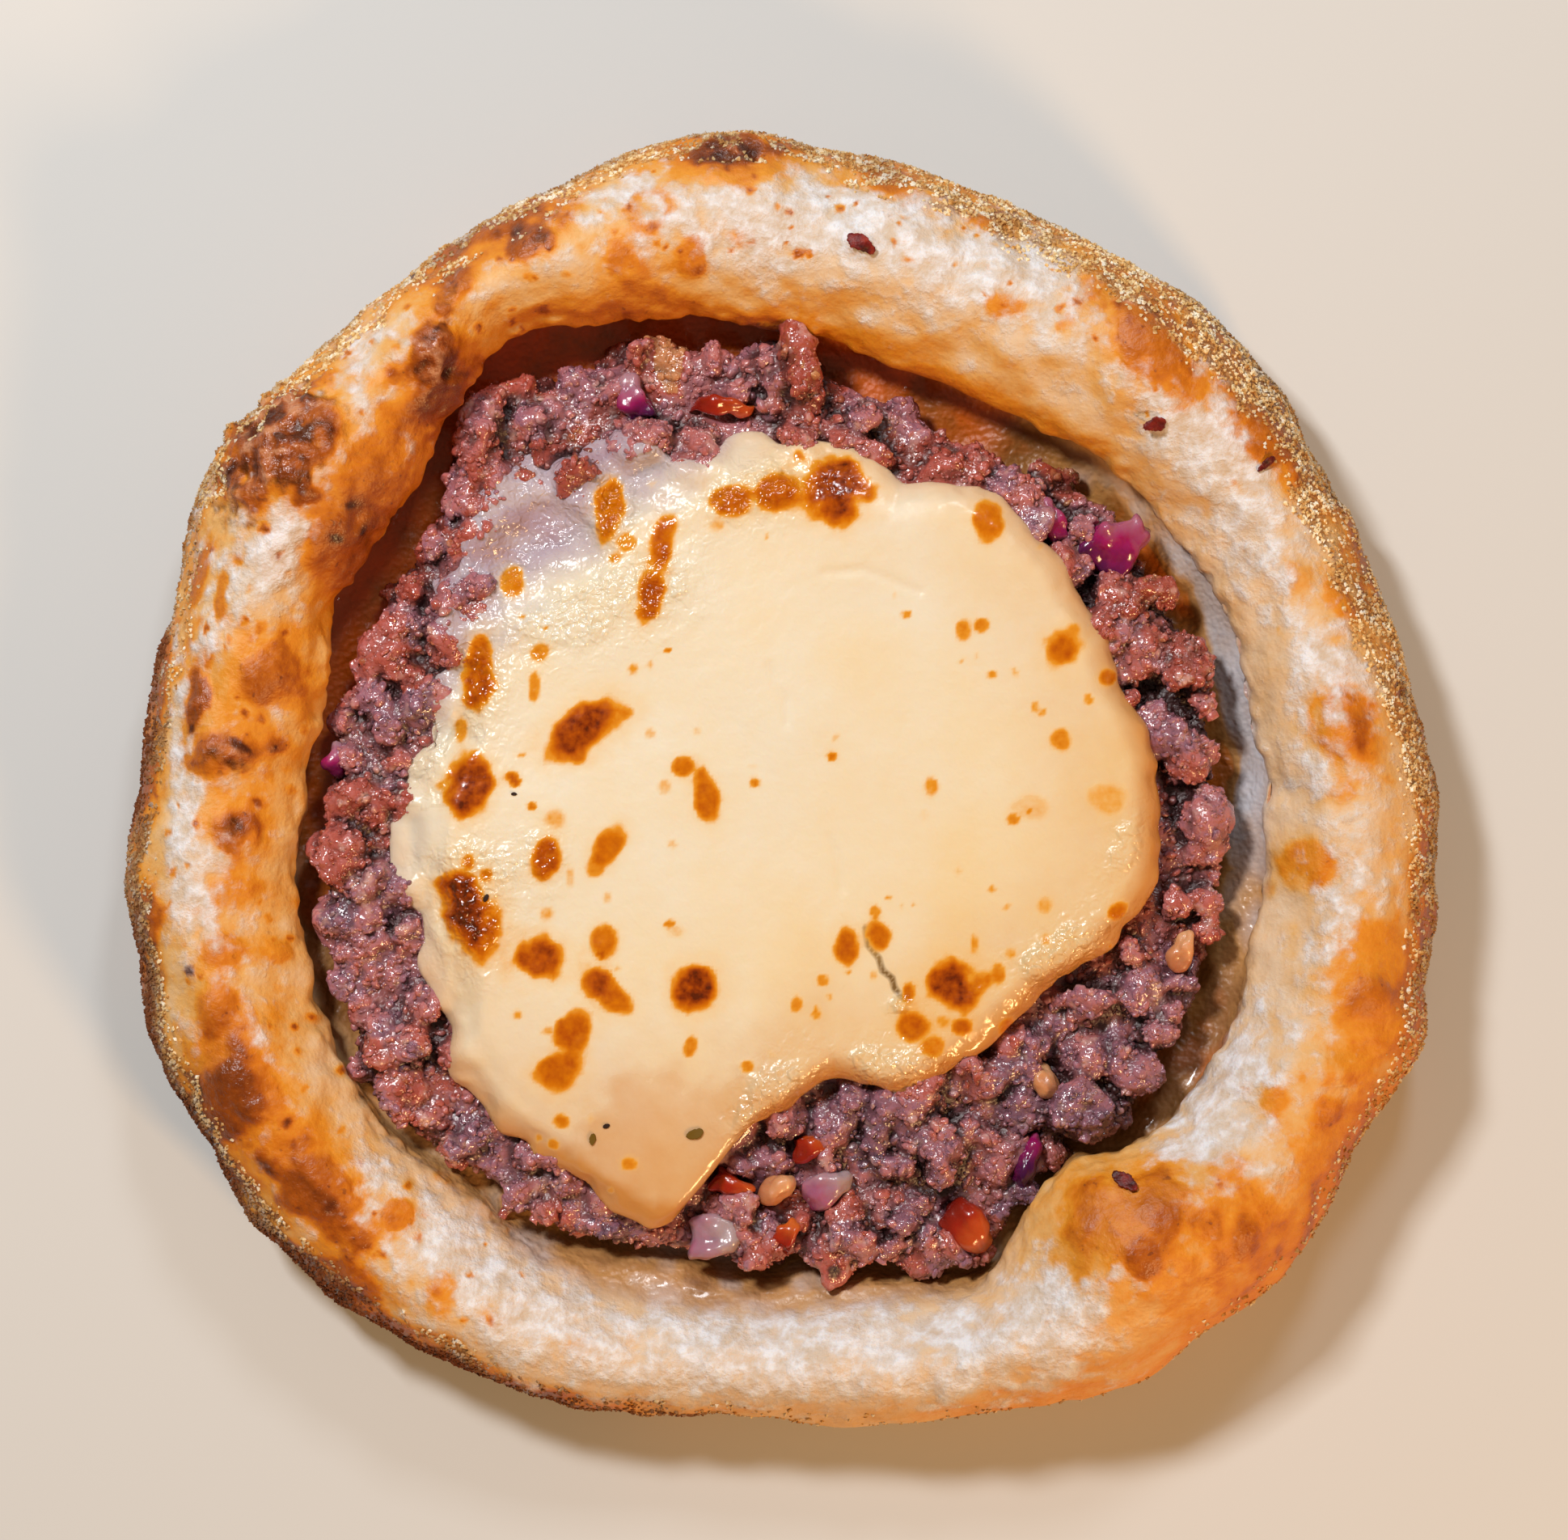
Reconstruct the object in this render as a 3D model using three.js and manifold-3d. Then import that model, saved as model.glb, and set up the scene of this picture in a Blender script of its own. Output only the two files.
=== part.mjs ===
// An open-faced sfiha: a round of leavened dough with a puffed, blistered rim, a crumbly heap of minced
// meat spread on its floor, and a sheet of melted cheese over the meat. Diced red onion, tomato and a few
// pale kernels show in the meat round the cheese, and three chilli flakes are baked onto the rim.
// Millimetres, +Z up. The origin is under the middle of the bread, on the surface it rests on.

import * as THREE from "three";
import { mergeVertices } from "three/addons/utils/BufferGeometryUtils.js";
import Module from "manifold-3d";

const wasm = await Module();
wasm.setup();

// Driving dimensions. Each list runs once round the bread in equal steps, anticlockwise from +X.
const OUTER_RADII = [59.8, 58.8, 57.9, 57.4, 57.7, 58.0, 57.3, 57.2, 57.0, 57.2, 57.2, 57.7,
  58.6, 59.2, 59.3, 57.8, 57.9, 57.5, 57.3, 57.9, 59.5, 58.9, 57.8, 58.8,
  59.0, 60.3, 60.8, 62.9, 61.7, 62.3, 62.7, 62.9, 61.9, 61.3, 60.4, 59.2,
  59.2, 59.9, 60.4, 62.0, 64.8, 64.0, 64.7, 63.8, 62.8, 64.3, 61.7, 60.7];
const INNER_RADII = [45.0, 43.6, 43.5, 43.7, 42.7, 41.8, 41.5, 39.7, 38.8, 38.6, 38.5, 39.5,
  40.7, 42.0, 43.0, 44.5, 47.0, 47.0, 44.5, 42.8, 42.8, 43.5, 42.7, 42.5,
  43.0, 43.9, 45.5, 46.7, 48.0, 48.5, 48.7, 48.2, 49.5, 49.0, 48.5, 48.4,
  48.0, 48.0, 49.0, 49.5, 46.0, 44.5, 48.0, 47.3, 46.8, 45.8, 45.1, 44.2];
const CREST_HEIGHTS = [16.4, 16.0, 16.5, 17.4, 17.6, 17.2, 17.0, 17.0, 17.4, 18.0, 18.4, 17.2,
  16.6, 16.4, 16.0, 15.6, 14.6, 13.8, 13.8, 15.0, 17.4, 18.0, 17.0, 16.4];
// The rim's section, as shares of its width in from the outer wall and of its crest's height.
const RIM_PROFILE = [[0.28, 0], [0.13, 0.07], [0.04, 0.2], [0, 0.36], [0.02, 0.53], [0.09, 0.7],
  [0.2, 0.85], [0.33, 0.95], [0.48, 1], [0.63, 0.97], [0.78, 0.88], [0.91, 0.76]];
// The inner wall, as shares of its undercut and of the crest's height.
const INNER_WALL = [[0.1, 0.64], [0.35, 0.55], [0.7, 0.46], [1, 0.37]];
// How far the foot of the rim's inner wall runs back under the inner edge; below 0 it slopes inwards.
const UNDERCUTS = [0.8, 0.8, 1.2, 1.6, 2.2, 2.6, 2.8, 3.0, 3.0, 3.0, 3.0, 3.0,
  2.4, 1.6, 0.4, -0.6, -1.8, -2.8, -2.8, -1.8, 0.8, 1.0, 0.8, 0.8];
const MEAT_RADII = [40.2, 41.0, 42.3, 40.4, 40.0, 41.0, 39.9, 36.0, 35.3, 36.3, 36.5, 38.0,
  40.0, 40.2, 41.7, 42.3, 42.5, 44.0, 41.4, 39.7, 39.7, 40.0, 40.8, 40.6,
  42.3, 43.6, 43.8, 45.5, 45.8, 48.2, 47.2, 46.6, 46.4, 45.6, 45.6, 46.2,
  43.6, 46.0, 47.8, 48.0, 45.7, 42.0, 44.5, 43.7, 43.7, 43.5, 42.5, 40.4];
const CHEESE_RADII = [34.7, 34.2, 32.7, 32.6, 32.5, 32.8, 32.7, 33.0, 31.9, 30.0, 31.2, 31.9,
  31.8, 31.7, 30.4, 34.5, 36.0, 37.5, 37.8, 37.2, 36.0, 33.5, 34.0, 34.1,
  34.2, 36.2, 37.0, 36.3, 38.0, 39.3, 41.0, 41.2, 41.3, 42.3, 43.0, 32.8,
  30.3, 27.6, 28.8, 31.6, 31.1, 30.7, 30.9, 31.2, 33.3, 34.2, 35.2, 35.0];
const CHEESE_THICKNESSES = [2.8, 2.8, 2.7, 2.6, 2.4, 2.0, 1.8, 1.6, 1.3, 1.1, 1.2, 1.6,
  2.0, 2.2, 2.4, 2.6, 2.6, 2.8, 2.9, 2.9, 2.9, 2.9, 2.9, 2.9];

const FLOOR_HEIGHT = 4.6; // top of the dough under the meat
const MEAT_HEIGHT = 6.8; // the meat's depth on the floor
const GAP = 0.4; // between pieces that touch
const CRUST_SEGMENTS = 120;
const FILLING_SEGMENTS = 90;

// Swellings of the rim: direction in degrees, distance from the middle, reach and height.
const SWELLINGS = [
  { towards: 146, from: 51.5, reach: 5.6, height: 2.2 }, // the large scorched blister
  { towards: 129, from: 49.5, reach: 3.6, height: 1.7 },
  { towards: 114, from: 54.0, reach: 3.0, height: 1.1 },
  { towards: 94, from: 57.0, reach: 4.2, height: 1.3 },
  { towards: 79, from: 56.0, reach: 3.4, height: 0.8 },
  { towards: 50, from: 53.0, reach: 4.8, height: 1.7 },
  { towards: 6, from: 51.0, reach: 4.2, height: 0.7 },
  { towards: 308, from: 50.5, reach: 5.8, height: 2.4 }, // the fold that leans over the filling
  { towards: 209, from: 57.0, reach: 4.6, height: 1.2 },
  { towards: 220, from: 59.0, reach: 4.0, height: 1.0 },
  { towards: 191, from: 59.5, reach: 4.0, height: 1.4 },
  { towards: 168, from: 48.0, reach: 4.6, height: 0.8 },
];

// Clumps of mince that stand out from the heap's edge, and the rule for the rest.
const CLUMPS = [
  { x: -23.2, y: 37.2, radius: 2.6 },
  { x: 1.4, y: 38.4, radius: 2.2 },
  { x: 16.6, y: 30.6, radius: 1.7 },
  { x: 26.6, y: 26.6, radius: 2.8 },
  { x: 38.6, y: 6.4, radius: 2.6 },
  { x: 36.4, y: -19.0, radius: 3.0 },
  { x: 29.0, y: -31.2, radius: 2.8 },
  { x: 10.4, y: -43.6, radius: 2.6 },
  { x: -22.6, y: -39.4, radius: 2.4 },
  { x: -40.4, y: -8.4, radius: 2.6 },
];
const CRUMB_TRIES = 420;
const CRUMB_RADII = [1.2, 2.5]; // smallest and largest

// Chilli flakes on the rim: place, length and turn.
const FLAKES = [
  { x: 7.0, y: 48.3, length: 3.0, turn: -35 },
  { x: 33.6, y: 32.1, length: 3.0, turn: 20 },
  { x: 31.0, y: -36.0, length: 3.2, turn: -25 },
];

// Diced vegetables and kernels that show in the meat: place, size, turn and tilt in degrees.
const ONIONS = [
  { x: 30.7, y: 21.6, length: 6.6, width: 5.6, turn: 50, tilt: 14 },
  { x: 24.9, y: 23.8, length: 4.8, width: 2.6, turn: 112, tilt: 10 },
  { x: -6.1, y: -41.5, length: 5.4, width: 4.2, turn: 12, tilt: -12 },
  { x: 4.2, y: -37.3, length: 4.2, width: 3.2, turn: 28, tilt: 8 },
  { x: -13.4, y: 34.8, length: 4.6, width: 3.4, turn: 118, tilt: -8 },
  { x: 22.5, y: -35.0, length: 5.2, width: 1.8, turn: 70, tilt: 12 },
  { x: -41.0, y: 2.1, length: 2.6, width: 1.9, turn: 80, tilt: 6 },
];
const TOMATOES = [
  { x: -4.6, y: -36.9, length: 4.2, width: 2.8, turn: -20, tilt: 8 },
  { x: 0.4, y: -41.6, length: 3.4, width: 2.8, turn: 64, tilt: -10 },
  { x: 16.9, y: -40.8, length: 4.9, width: 4.2, turn: -40, tilt: 12 },
  { x: 2.4, y: -33.4, length: 3.2, width: 2.8, turn: 15, tilt: -6 },
  { x: -5.4, y: 34.2, length: 6.2, width: 2.2, turn: -4, tilt: 6 },
];
const KERNELS = [
  { x: 36.7, y: -15.3, length: 4.0, width: 2.7, turn: 74 },
  { x: -0.3, y: -37.2, length: 3.4, width: 3.0, turn: 20 },
  { x: 24.0, y: -27.3, length: 3.6, width: 2.7, turn: 118 },
];
const CHIP_THICKNESS = 2.0;

const DOUGH = { color: 0xe6c79c, roughness: 0.8, metalness: 0 };
const MINCE = { color: 0x9c5f5c, roughness: 0.45, metalness: 0 };
const CHEESE = { color: 0xf2dcae, roughness: 0.3, metalness: 0 };
const ONION = { color: 0x9a3f78, roughness: 0.3, metalness: 0 };
const TOMATO = { color: 0xb83a1e, roughness: 0.35, metalness: 0 };
const KERNEL = { color: 0xcf9468, roughness: 0.5, metalness: 0 };

const radians = (degrees) => (degrees * Math.PI) / 180;

// A value between those of a list that runs once round, on a smooth curve through them.
function around(values, angle) {
  const place = (angle / (2 * Math.PI)) * values.length;
  const before = Math.floor(place);
  const t = place - before;
  const [a, b, c, d] = [-1, 0, 1, 2].map((k) => values[(before + k + 2 * values.length) % values.length]);
  return b + 0.5 * t * (c - a + t * (2 * a - 5 * b + 4 * c - d + t * (3 * (b - c) + d - a)));
}

// A repeatable number from 0 to 1 for each whole-numbered place.
function hashed(i, j, k) {
  const s = Math.sin(i * 127.1 + j * 311.7 + k * 74.7) * 43758.5453;
  return s - Math.floor(s);
}

// Smooth unevenness from -1 to 1, with lumps about one unit across.
function unevenness(x, y, z) {
  const [i, j, k] = [x, y, z].map(Math.floor);
  const [u, v, w] = [x - i, y - j, z - k].map((t) => t * t * (3 - 2 * t));
  const mix = THREE.MathUtils.lerp;
  const along = (dj, dk) => mix(hashed(i, j + dj, k + dk), hashed(i + 1, j + dj, k + dk), u);
  return 2 * mix(mix(along(0, 0), along(1, 0), v), mix(along(0, 1), along(1, 1), v), w) - 1;
}

// A closed body from one section for each direction: a lathed blank whose rings are pushed into place.
function turned(sectionAt, segments) {
  const blank = sectionAt(0).map(([radius, height]) => new THREE.Vector2(radius, height));
  const geometry = new THREE.LatheGeometry(blank, segments);
  const position = geometry.getAttribute("position");
  for (let i = 0; i <= segments; i++) {
    const angle = (2 * Math.PI * (i % segments)) / segments;
    sectionAt(angle).forEach(([radius, height], j) =>
      position.setXYZ(i * blank.length + j, radius * Math.cos(angle), radius * Math.sin(angle), height));
  }
  return geometry;
}

// The bare closed mesh of a geometry as a solid that can be joined and cut.
function solid(geometry) {
  const bare = geometry.clone();
  bare.deleteAttribute("normal");
  bare.deleteAttribute("uv");
  const merged = mergeVertices(bare, 1e-3);
  return new wasm.Manifold(new wasm.Mesh({
    numProp: 3,
    vertProperties: merged.getAttribute("position").array,
    triVerts: new Uint32Array(merged.index.array),
  }));
}

function geometryOf(body) {
  const { vertProperties, triVerts } = body.getMesh();
  return new THREE.BufferGeometry()
    .setAttribute("position", new THREE.BufferAttribute(vertProperties, 3))
    .setIndex(new THREE.BufferAttribute(triVerts, 1));
}

// The crust's section: out along the flat base, up the outer wall, over the crest, down the inner wall
// and in along the floor.
function crustSection(angle) {
  const outer = around(OUTER_RADII, angle);
  const inner = around(INNER_RADII, angle);
  const crest = around(CREST_HEIGHTS, angle);
  const undercut = around(UNDERCUTS, angle);
  const width = outer - inner;
  const wall = [
    ...RIM_PROFILE.map(([across, up]) => [outer - across * width, up * crest]),
    ...INNER_WALL.map(([back, up]) => [inner + back * undercut, up * crest]),
  ].map(([radius, height]) => swollen(radius, height, angle, outer - 0.5 * width, 0.45 * crest));
  return [
    [0, 0],
    ...wall,
    [inner + 0.6 * undercut - 1.2, FLOOR_HEIGHT],
    [0.62 * inner, FLOOR_HEIGHT],
    [0, FLOOR_HEIGHT],
  ];
}

// Pushes a point of the rim away from the rim's own middle where the dough has swollen.
function swollen(radius, height, angle, middleRadius, middleHeight) {
  if (height <= 0) return [radius, height];
  const x = radius * Math.cos(angle);
  const y = radius * Math.sin(angle);
  let push = 0.35 * unevenness(x / 5, y / 5, height / 5);
  for (const { towards, from, reach, height: rise } of SWELLINGS) {
    const apart = Math.hypot(x - from * Math.cos(radians(towards)), y - from * Math.sin(radians(towards)));
    push += rise * Math.exp(-0.5 * (apart / reach) ** 2) * Math.min(1, height / 8);
  }
  const [dr, dh] = [radius - middleRadius, height - middleHeight];
  const length = Math.hypot(dr, dh);
  return [radius + (push * dr) / length, height + (push * dh) / length];
}

const rimFoot = (angle) => around(INNER_RADII, angle) + Math.min(0, around(UNDERCUTS, angle));

// Where the meat heap ends, clear of the rim's foot and of its inner edge.
function meatEdge(angle) {
  const ragged = 0.8 * unevenness(7 * Math.cos(angle), 7 * Math.sin(angle), 2.5);
  return Math.min(around(MEAT_RADII, angle) + ragged, rimFoot(angle) - 2 * GAP);
}

const cheeseEdge = (angle) => Math.min(around(CHEESE_RADII, angle), meatEdge(angle) - 1.7);

// Height of the bare heap's top, a low dome with uneven ground.
function meatTop(x, y) {
  const dome = 0.9 * (1 - (x * x + y * y) / 42 ** 2);
  return FLOOR_HEIGHT + GAP + MEAT_HEIGHT - 1 + dome + 0.45 * unevenness(x / 11, y / 11, 0.5);
}

const CHEESE_RINGS = [0.32, 0.62, 0.84, 0.96]; // shares of the way to the cheese's edge

function meatSection(angle) {
  const edge = meatEdge(angle);
  const cheese = cheeseEdge(angle);
  const under = FLOOR_HEIGHT + GAP;
  const topAt = (radius) => [radius, meatTop(radius * Math.cos(angle), radius * Math.sin(angle))];
  const [, shoulder] = topAt(edge - 1.5);
  return [
    [0, under],
    [edge - 2.4, under],
    [edge - 0.6, under + 1.4],
    [edge, 0.5 * (under + shoulder)],
    [edge - 0.35, shoulder - 1.6],
    [edge - 1.4, shoulder - 0.5],
    topAt(cheese),
    ...CHEESE_RINGS.toReversed().map((share) => topAt(share * cheese)),
    topAt(0),
  ];
}

function cheeseSection(angle) {
  const edge = cheeseEdge(angle);
  const thickness = around(CHEESE_THICKNESSES, angle);
  const at = (share, lift) => {
    const radius = share * edge;
    return [radius, meatTop(radius * Math.cos(angle), radius * Math.sin(angle)) + GAP + lift];
  };
  const middle = 2.1; // thickness in the middle of the sheet
  const over = (share) => at(share, THREE.MathUtils.lerp(middle, thickness, share ** 2));
  return [
    at(0, 0),
    ...CHEESE_RINGS.map((share) => at(share, 0)),
    at(1, 0.25 * thickness),
    at(1.004, 0.55 * thickness),
    at(0.985, 0.84 * thickness),
    ...CHEESE_RINGS.toReversed().map(over),
    over(0),
  ];
}

// An irregular crumb with few sides.
function crumb(radius, seed) {
  const geometry = new THREE.IcosahedronGeometry(radius, 0);
  const position = geometry.getAttribute("position");
  for (let i = 0; i < position.count; i++) {
    const [x, y, z] = [position.getX(i), position.getY(i), position.getZ(i)];
    const grow = 1 + 0.3 * unevenness(x / radius + seed, y / radius, z / radius);
    position.setXYZ(i, x * grow, y * grow, 0.85 * z * grow);
  }
  return geometry;
}

// Clumps and crumbs of mince over the ring that the cheese leaves bare, and down its side. One that would
// reach the cheese, the rim or a diced piece is left out.
function crumbs() {
  const diced = [...ONIONS, ...TOMATOES, ...KERNELS];
  const golden = Math.PI * (3 - Math.sqrt(5));
  const tried = Array.from({ length: CRUMB_TRIES }, (_, i) => {
    const angle = (i * golden) % (2 * Math.PI);
    const from = THREE.MathUtils.lerp(cheeseEdge(angle), meatEdge(angle), hashed(i, 2, 0) ** 0.8);
    const radius = THREE.MathUtils.lerp(...CRUMB_RADII, hashed(i, 1, 0) ** 2);
    return { x: from * Math.cos(angle), y: from * Math.sin(angle), radius };
  });
  const placed = [];
  for (const { x, y, radius } of [...CLUMPS, ...tried]) {
    const angle = Math.atan2(y, x);
    const from = Math.hypot(x, y);
    const reach = 1.3 * radius;
    const clear = from + reach < rimFoot(angle) - GAP
      && from - reach > cheeseEdge(angle) + GAP
      && diced.every((d) => Math.hypot(x - d.x, y - d.y) > 0.45 * d.length + radius)
      && placed.every((p) => Math.hypot(x - p.x, y - p.y) > 0.7 * (radius + p.radius));
    const sunk = meatEdge(angle) - from < 1.2 ? 1.4 + 2.6 * hashed(placed.length, 3, 0) : 0.45 * radius;
    if (clear) placed.push({ x, y, z: meatTop(x, y) - sunk, radius });
  }
  return placed.map(({ x, y, z, radius }, i) => solid(crumb(radius, i).translate(x, y, z)));
}

// A diced piece: a five-sided slice with bevelled edges, arched along its length.
function chip({ length, width }, grow = 0) {
  const [l, w] = [length / 2 - 0.4, width / 2 - 0.4];
  const outline = new THREE.Shape([
    new THREE.Vector2(-l, -0.7 * w),
    new THREE.Vector2(0.8 * l, -w),
    new THREE.Vector2(l, 0.5 * w),
    new THREE.Vector2(0.2 * l, w),
    new THREE.Vector2(-0.8 * l, 0.8 * w),
  ]);
  const geometry = new THREE.ExtrudeGeometry(outline, {
    depth: CHIP_THICKNESS - 0.8,
    bevelThickness: 0.4 + grow,
    bevelSize: 0.4 + grow,
    bevelSegments: 1,
  });
  geometry.translate(0, 0, 0.4 - CHIP_THICKNESS / 2);
  const position = geometry.getAttribute("position");
  for (let i = 0; i < position.count; i++) {
    position.setZ(i, position.getZ(i) - 0.03 * position.getX(i) ** 2);
  }
  return geometry;
}

// A kernel: a small ball drawn out along one axis.
function kernel({ length, width }, grow = 0) {
  return new THREE.SphereGeometry(1, 10, 6)
    .rotateZ(Math.PI / 2)
    .scale(length / 2 + grow, width / 2 + grow, width / 2 + grow);
}

// A diced piece where it lies, half sunk in the top of the meat.
function laid(shape, piece, grow) {
  const { x, y, turn, tilt = 0 } = piece;
  const inward = meatEdge(Math.atan2(y, x)) - Math.hypot(x, y);
  const slump = inward < 2 ? 2 - inward : 0; // the heap falls away at its edge
  return shape(piece, grow)
    .rotateX(radians(tilt))
    .rotateZ(radians(turn))
    .translate(x, y, meatTop(x, y) + 0.35 - slump);
}

function flake({ x, y, length, turn }) {
  const angle = Math.atan2(y, x);
  const from = Math.hypot(x, y);
  const section = crustSection(angle);
  const after = section.findIndex(([radius, height]) => height > 8 && radius < from);
  const [[r0, h0], [r1, h1]] = [section[after - 1], section[after]];
  const height = THREE.MathUtils.mapLinear(from, r0, r1, h0, h1);
  return new THREE.IcosahedronGeometry(1, 0)
    .scale(length / 2, length / 3, 0.9)
    .rotateZ(radians(turn))
    .translate(x, y, height + 0.1);
}

const filling = [
  ...ONIONS.map((piece, i) => ({ name: `onion_${i + 1}`, shape: chip, piece, look: ONION })),
  ...TOMATOES.map((piece, i) => ({ name: `tomato_${i + 1}`, shape: chip, piece, look: TOMATO })),
  ...KERNELS.map((piece, i) => ({ name: `kernel_${i + 1}`, shape: kernel, piece, look: KERNEL })),
];

function crust() {
  const bread = solid(turned(crustSection, CRUST_SEGMENTS));
  return geometryOf(FLAKES.reduce((body, f) => body.add(solid(flake(f))), bread));
}

function meat() {
  const heap = crumbs().reduce((body, c) => body.add(c), solid(turned(meatSection, FILLING_SEGMENTS)));
  const pockets = filling.map(({ shape, piece }) => solid(laid(shape, piece, GAP)));
  return geometryOf(pockets.reduce((body, pocket) => body.subtract(pocket), heap));
}

function named(name, geometry, look) {
  const mesh = new THREE.Mesh(geometry, new THREE.MeshStandardMaterial(look));
  mesh.name = name;
  return mesh;
}

const sfiha = new THREE.Group();
sfiha.add(
  named("crust", crust(), DOUGH),
  named("meat", meat(), MINCE),
  named("cheese", turned(cheeseSection, FILLING_SEGMENTS), CHEESE),
  ...filling.map(({ name, shape, piece, look }) => named(name, laid(shape, piece, 0), look)),
);

// The bread's middle is set over the origin.
const middle = new THREE.Box3().setFromObject(sfiha).getCenter(new THREE.Vector3());
sfiha.position.set(-middle.x, -middle.y, 0);

export default sfiha;
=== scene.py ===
# %% [markdown]
# # An open sfiha
#
# A sfiha is a small round of leavened dough, pressed flat in the middle so that a fat rim is left, spread
# with spiced minced meat, topped with cheese and baked until the rim blisters. The solids of its bread,
# meat, cheese and diced vegetables come as a fixed frame. Here each of them gets the finish of the real
# thing: scorched dough, wet crumbly meat, melted cheese with browned bubbles. The first cell loads the
# frame.

import itertools
import math

import bpy
import numpy as np
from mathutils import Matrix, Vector
from mathutils.kdtree import KDTree


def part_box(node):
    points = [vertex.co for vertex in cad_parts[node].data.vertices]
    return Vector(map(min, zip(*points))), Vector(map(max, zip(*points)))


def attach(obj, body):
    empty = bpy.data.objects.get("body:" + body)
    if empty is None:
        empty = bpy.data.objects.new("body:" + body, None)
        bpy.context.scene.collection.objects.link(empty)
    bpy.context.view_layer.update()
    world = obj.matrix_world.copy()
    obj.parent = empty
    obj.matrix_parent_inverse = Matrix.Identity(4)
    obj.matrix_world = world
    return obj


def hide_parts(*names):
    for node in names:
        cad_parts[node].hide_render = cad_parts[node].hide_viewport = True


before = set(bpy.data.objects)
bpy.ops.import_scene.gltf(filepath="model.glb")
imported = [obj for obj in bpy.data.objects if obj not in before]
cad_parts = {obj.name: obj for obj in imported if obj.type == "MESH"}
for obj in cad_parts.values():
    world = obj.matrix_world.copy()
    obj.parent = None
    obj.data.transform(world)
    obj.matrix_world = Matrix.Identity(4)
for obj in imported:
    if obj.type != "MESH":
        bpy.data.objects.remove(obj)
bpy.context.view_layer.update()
print("nodes:", len(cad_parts))

MM = 0.001
MIDDLE = np.array([0.18, -0.11]) * MM  # where the bread's own middle lies, from which places are measured

# %% [markdown]
# ## Camera, light and floor
#
# Food like this is often shown from straight above, which shows the pattern of the browning. A long lens
# keeps the tall rim from leaning outwards. Wet food is judged by its highlights, so the three lights are
# small, each under a tenth of a metre, and leave crisp ones: the strongest at the upper left, so that the
# inner wall of the rim is in shade there and lit on the far side, a warm one low at the lower right, and a
# faint cool one behind. The pale floor and a dim, warm surrounding fill the shadows.

# %% Camera
IMAGE_WIDTH = 1939
PIXELS_PER_MM = 13.4  # at the height of the rim's widest part
CAMERA_DISTANCE = 0.48
RIM_MIDDLE_HEIGHT = 6 * MM
VIEW_WIDTH = IMAGE_WIDTH / PIXELS_PER_MM * MM

camera = bpy.data.objects.new("camera", bpy.data.cameras.new("camera"))
camera.data.lens = camera.data.sensor_width * CAMERA_DISTANCE / VIEW_WIDTH
camera.location = (0.37 * MM, 0.87 * MM, RIM_MIDDLE_HEIGHT + CAMERA_DISTANCE)
bpy.context.collection.objects.link(camera)
bpy.context.scene.camera = camera
print("lens in mm:", round(camera.data.lens, 1))

# %% Lights and floor
LIGHTS = [
    # name, place, width, power and colour
    ("key_light", (-0.22, 0.25, 0.46), 0.08, 2.5, (1, 1, 1)),
    ("fill_light", (0.28, -0.35, 0.26), 0.08, 1.6, (1, 0.60, 0.26)),
    ("back_light", (0.10, 0.40, 0.42), 0.09, 0.8, (0.88, 0.94, 1)),
]
for name, place, width, power, colour in LIGHTS:
    light = bpy.data.objects.new(name, bpy.data.lights.new(name, "AREA"))
    light.data.size = width
    light.data.energy = power
    light.data.color = colour
    light.location = place
    light.rotation_euler = Vector(place).to_track_quat("Z", "Y").to_euler()
    bpy.context.collection.objects.link(light)

world = bpy.data.worlds.new("studio")
world.use_nodes = True
surrounding = world.node_tree.nodes["Background"].inputs
surrounding["Color"].default_value = (1, 0.78, 0.56, 1)
surrounding["Strength"].default_value = 0.14
bpy.context.scene.world = world
bpy.context.scene.view_settings.view_transform = "Standard"

bpy.ops.mesh.primitive_plane_add(size=3, location=(0, 0, -0.2 * MM))
floor = bpy.context.object
floor.name = "floor"
floor_look = bpy.data.materials.new("pale_floor")
floor_look.use_nodes = True
floor_look.node_tree.nodes["Principled BSDF"].inputs["Base Color"].default_value = (0.62, 0.61, 0.59, 1)
floor_look.node_tree.nodes["Principled BSDF"].inputs["Roughness"].default_value = 0.8
floor.data.materials.append(floor_look)
print("lights:", len(LIGHTS))

# %% [markdown]
# ## Helpers for shaping
#
# An operator works on everything that is selected, so `only` selects one piece before each. A node of the
# frame is loose triangles: `refined_copy` joins them up, turns them back into quads where it can, and
# subdivides them, which keeps the form and gives room for finer relief. `mottle` is soft random
# unevenness, the stuff that dough, cheese and mince are made of, worked out for all points at once.

# %% Selecting, applying, copying
def only(piece):
    bpy.ops.object.select_all(action="DESELECT")
    piece.select_set(True)
    bpy.context.view_layer.objects.active = piece


def with_modifier(piece, kind, **settings):
    modifier = piece.modifiers.new(kind.title(), kind)
    for name, value in settings.items():
        setattr(modifier, name, value)
    only(piece)
    bpy.ops.object.modifier_apply(modifier=modifier.name)


def refined_copy(node, name, levels):
    piece = bpy.data.objects.new(name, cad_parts[node].data.copy())
    piece.data.materials.clear()
    bpy.context.collection.objects.link(piece)
    only(piece)
    bpy.ops.object.mode_set(mode="EDIT")
    bpy.ops.mesh.select_all(action="SELECT")
    bpy.ops.mesh.remove_doubles(threshold=0.02 * MM)
    bpy.ops.mesh.tris_convert_to_quads(face_threshold=math.radians(50), shape_threshold=math.radians(70))
    bpy.ops.object.mode_set(mode="OBJECT")
    if levels:
        with_modifier(piece, "SUBSURF", levels=levels, render_levels=levels)
    return piece


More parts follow.
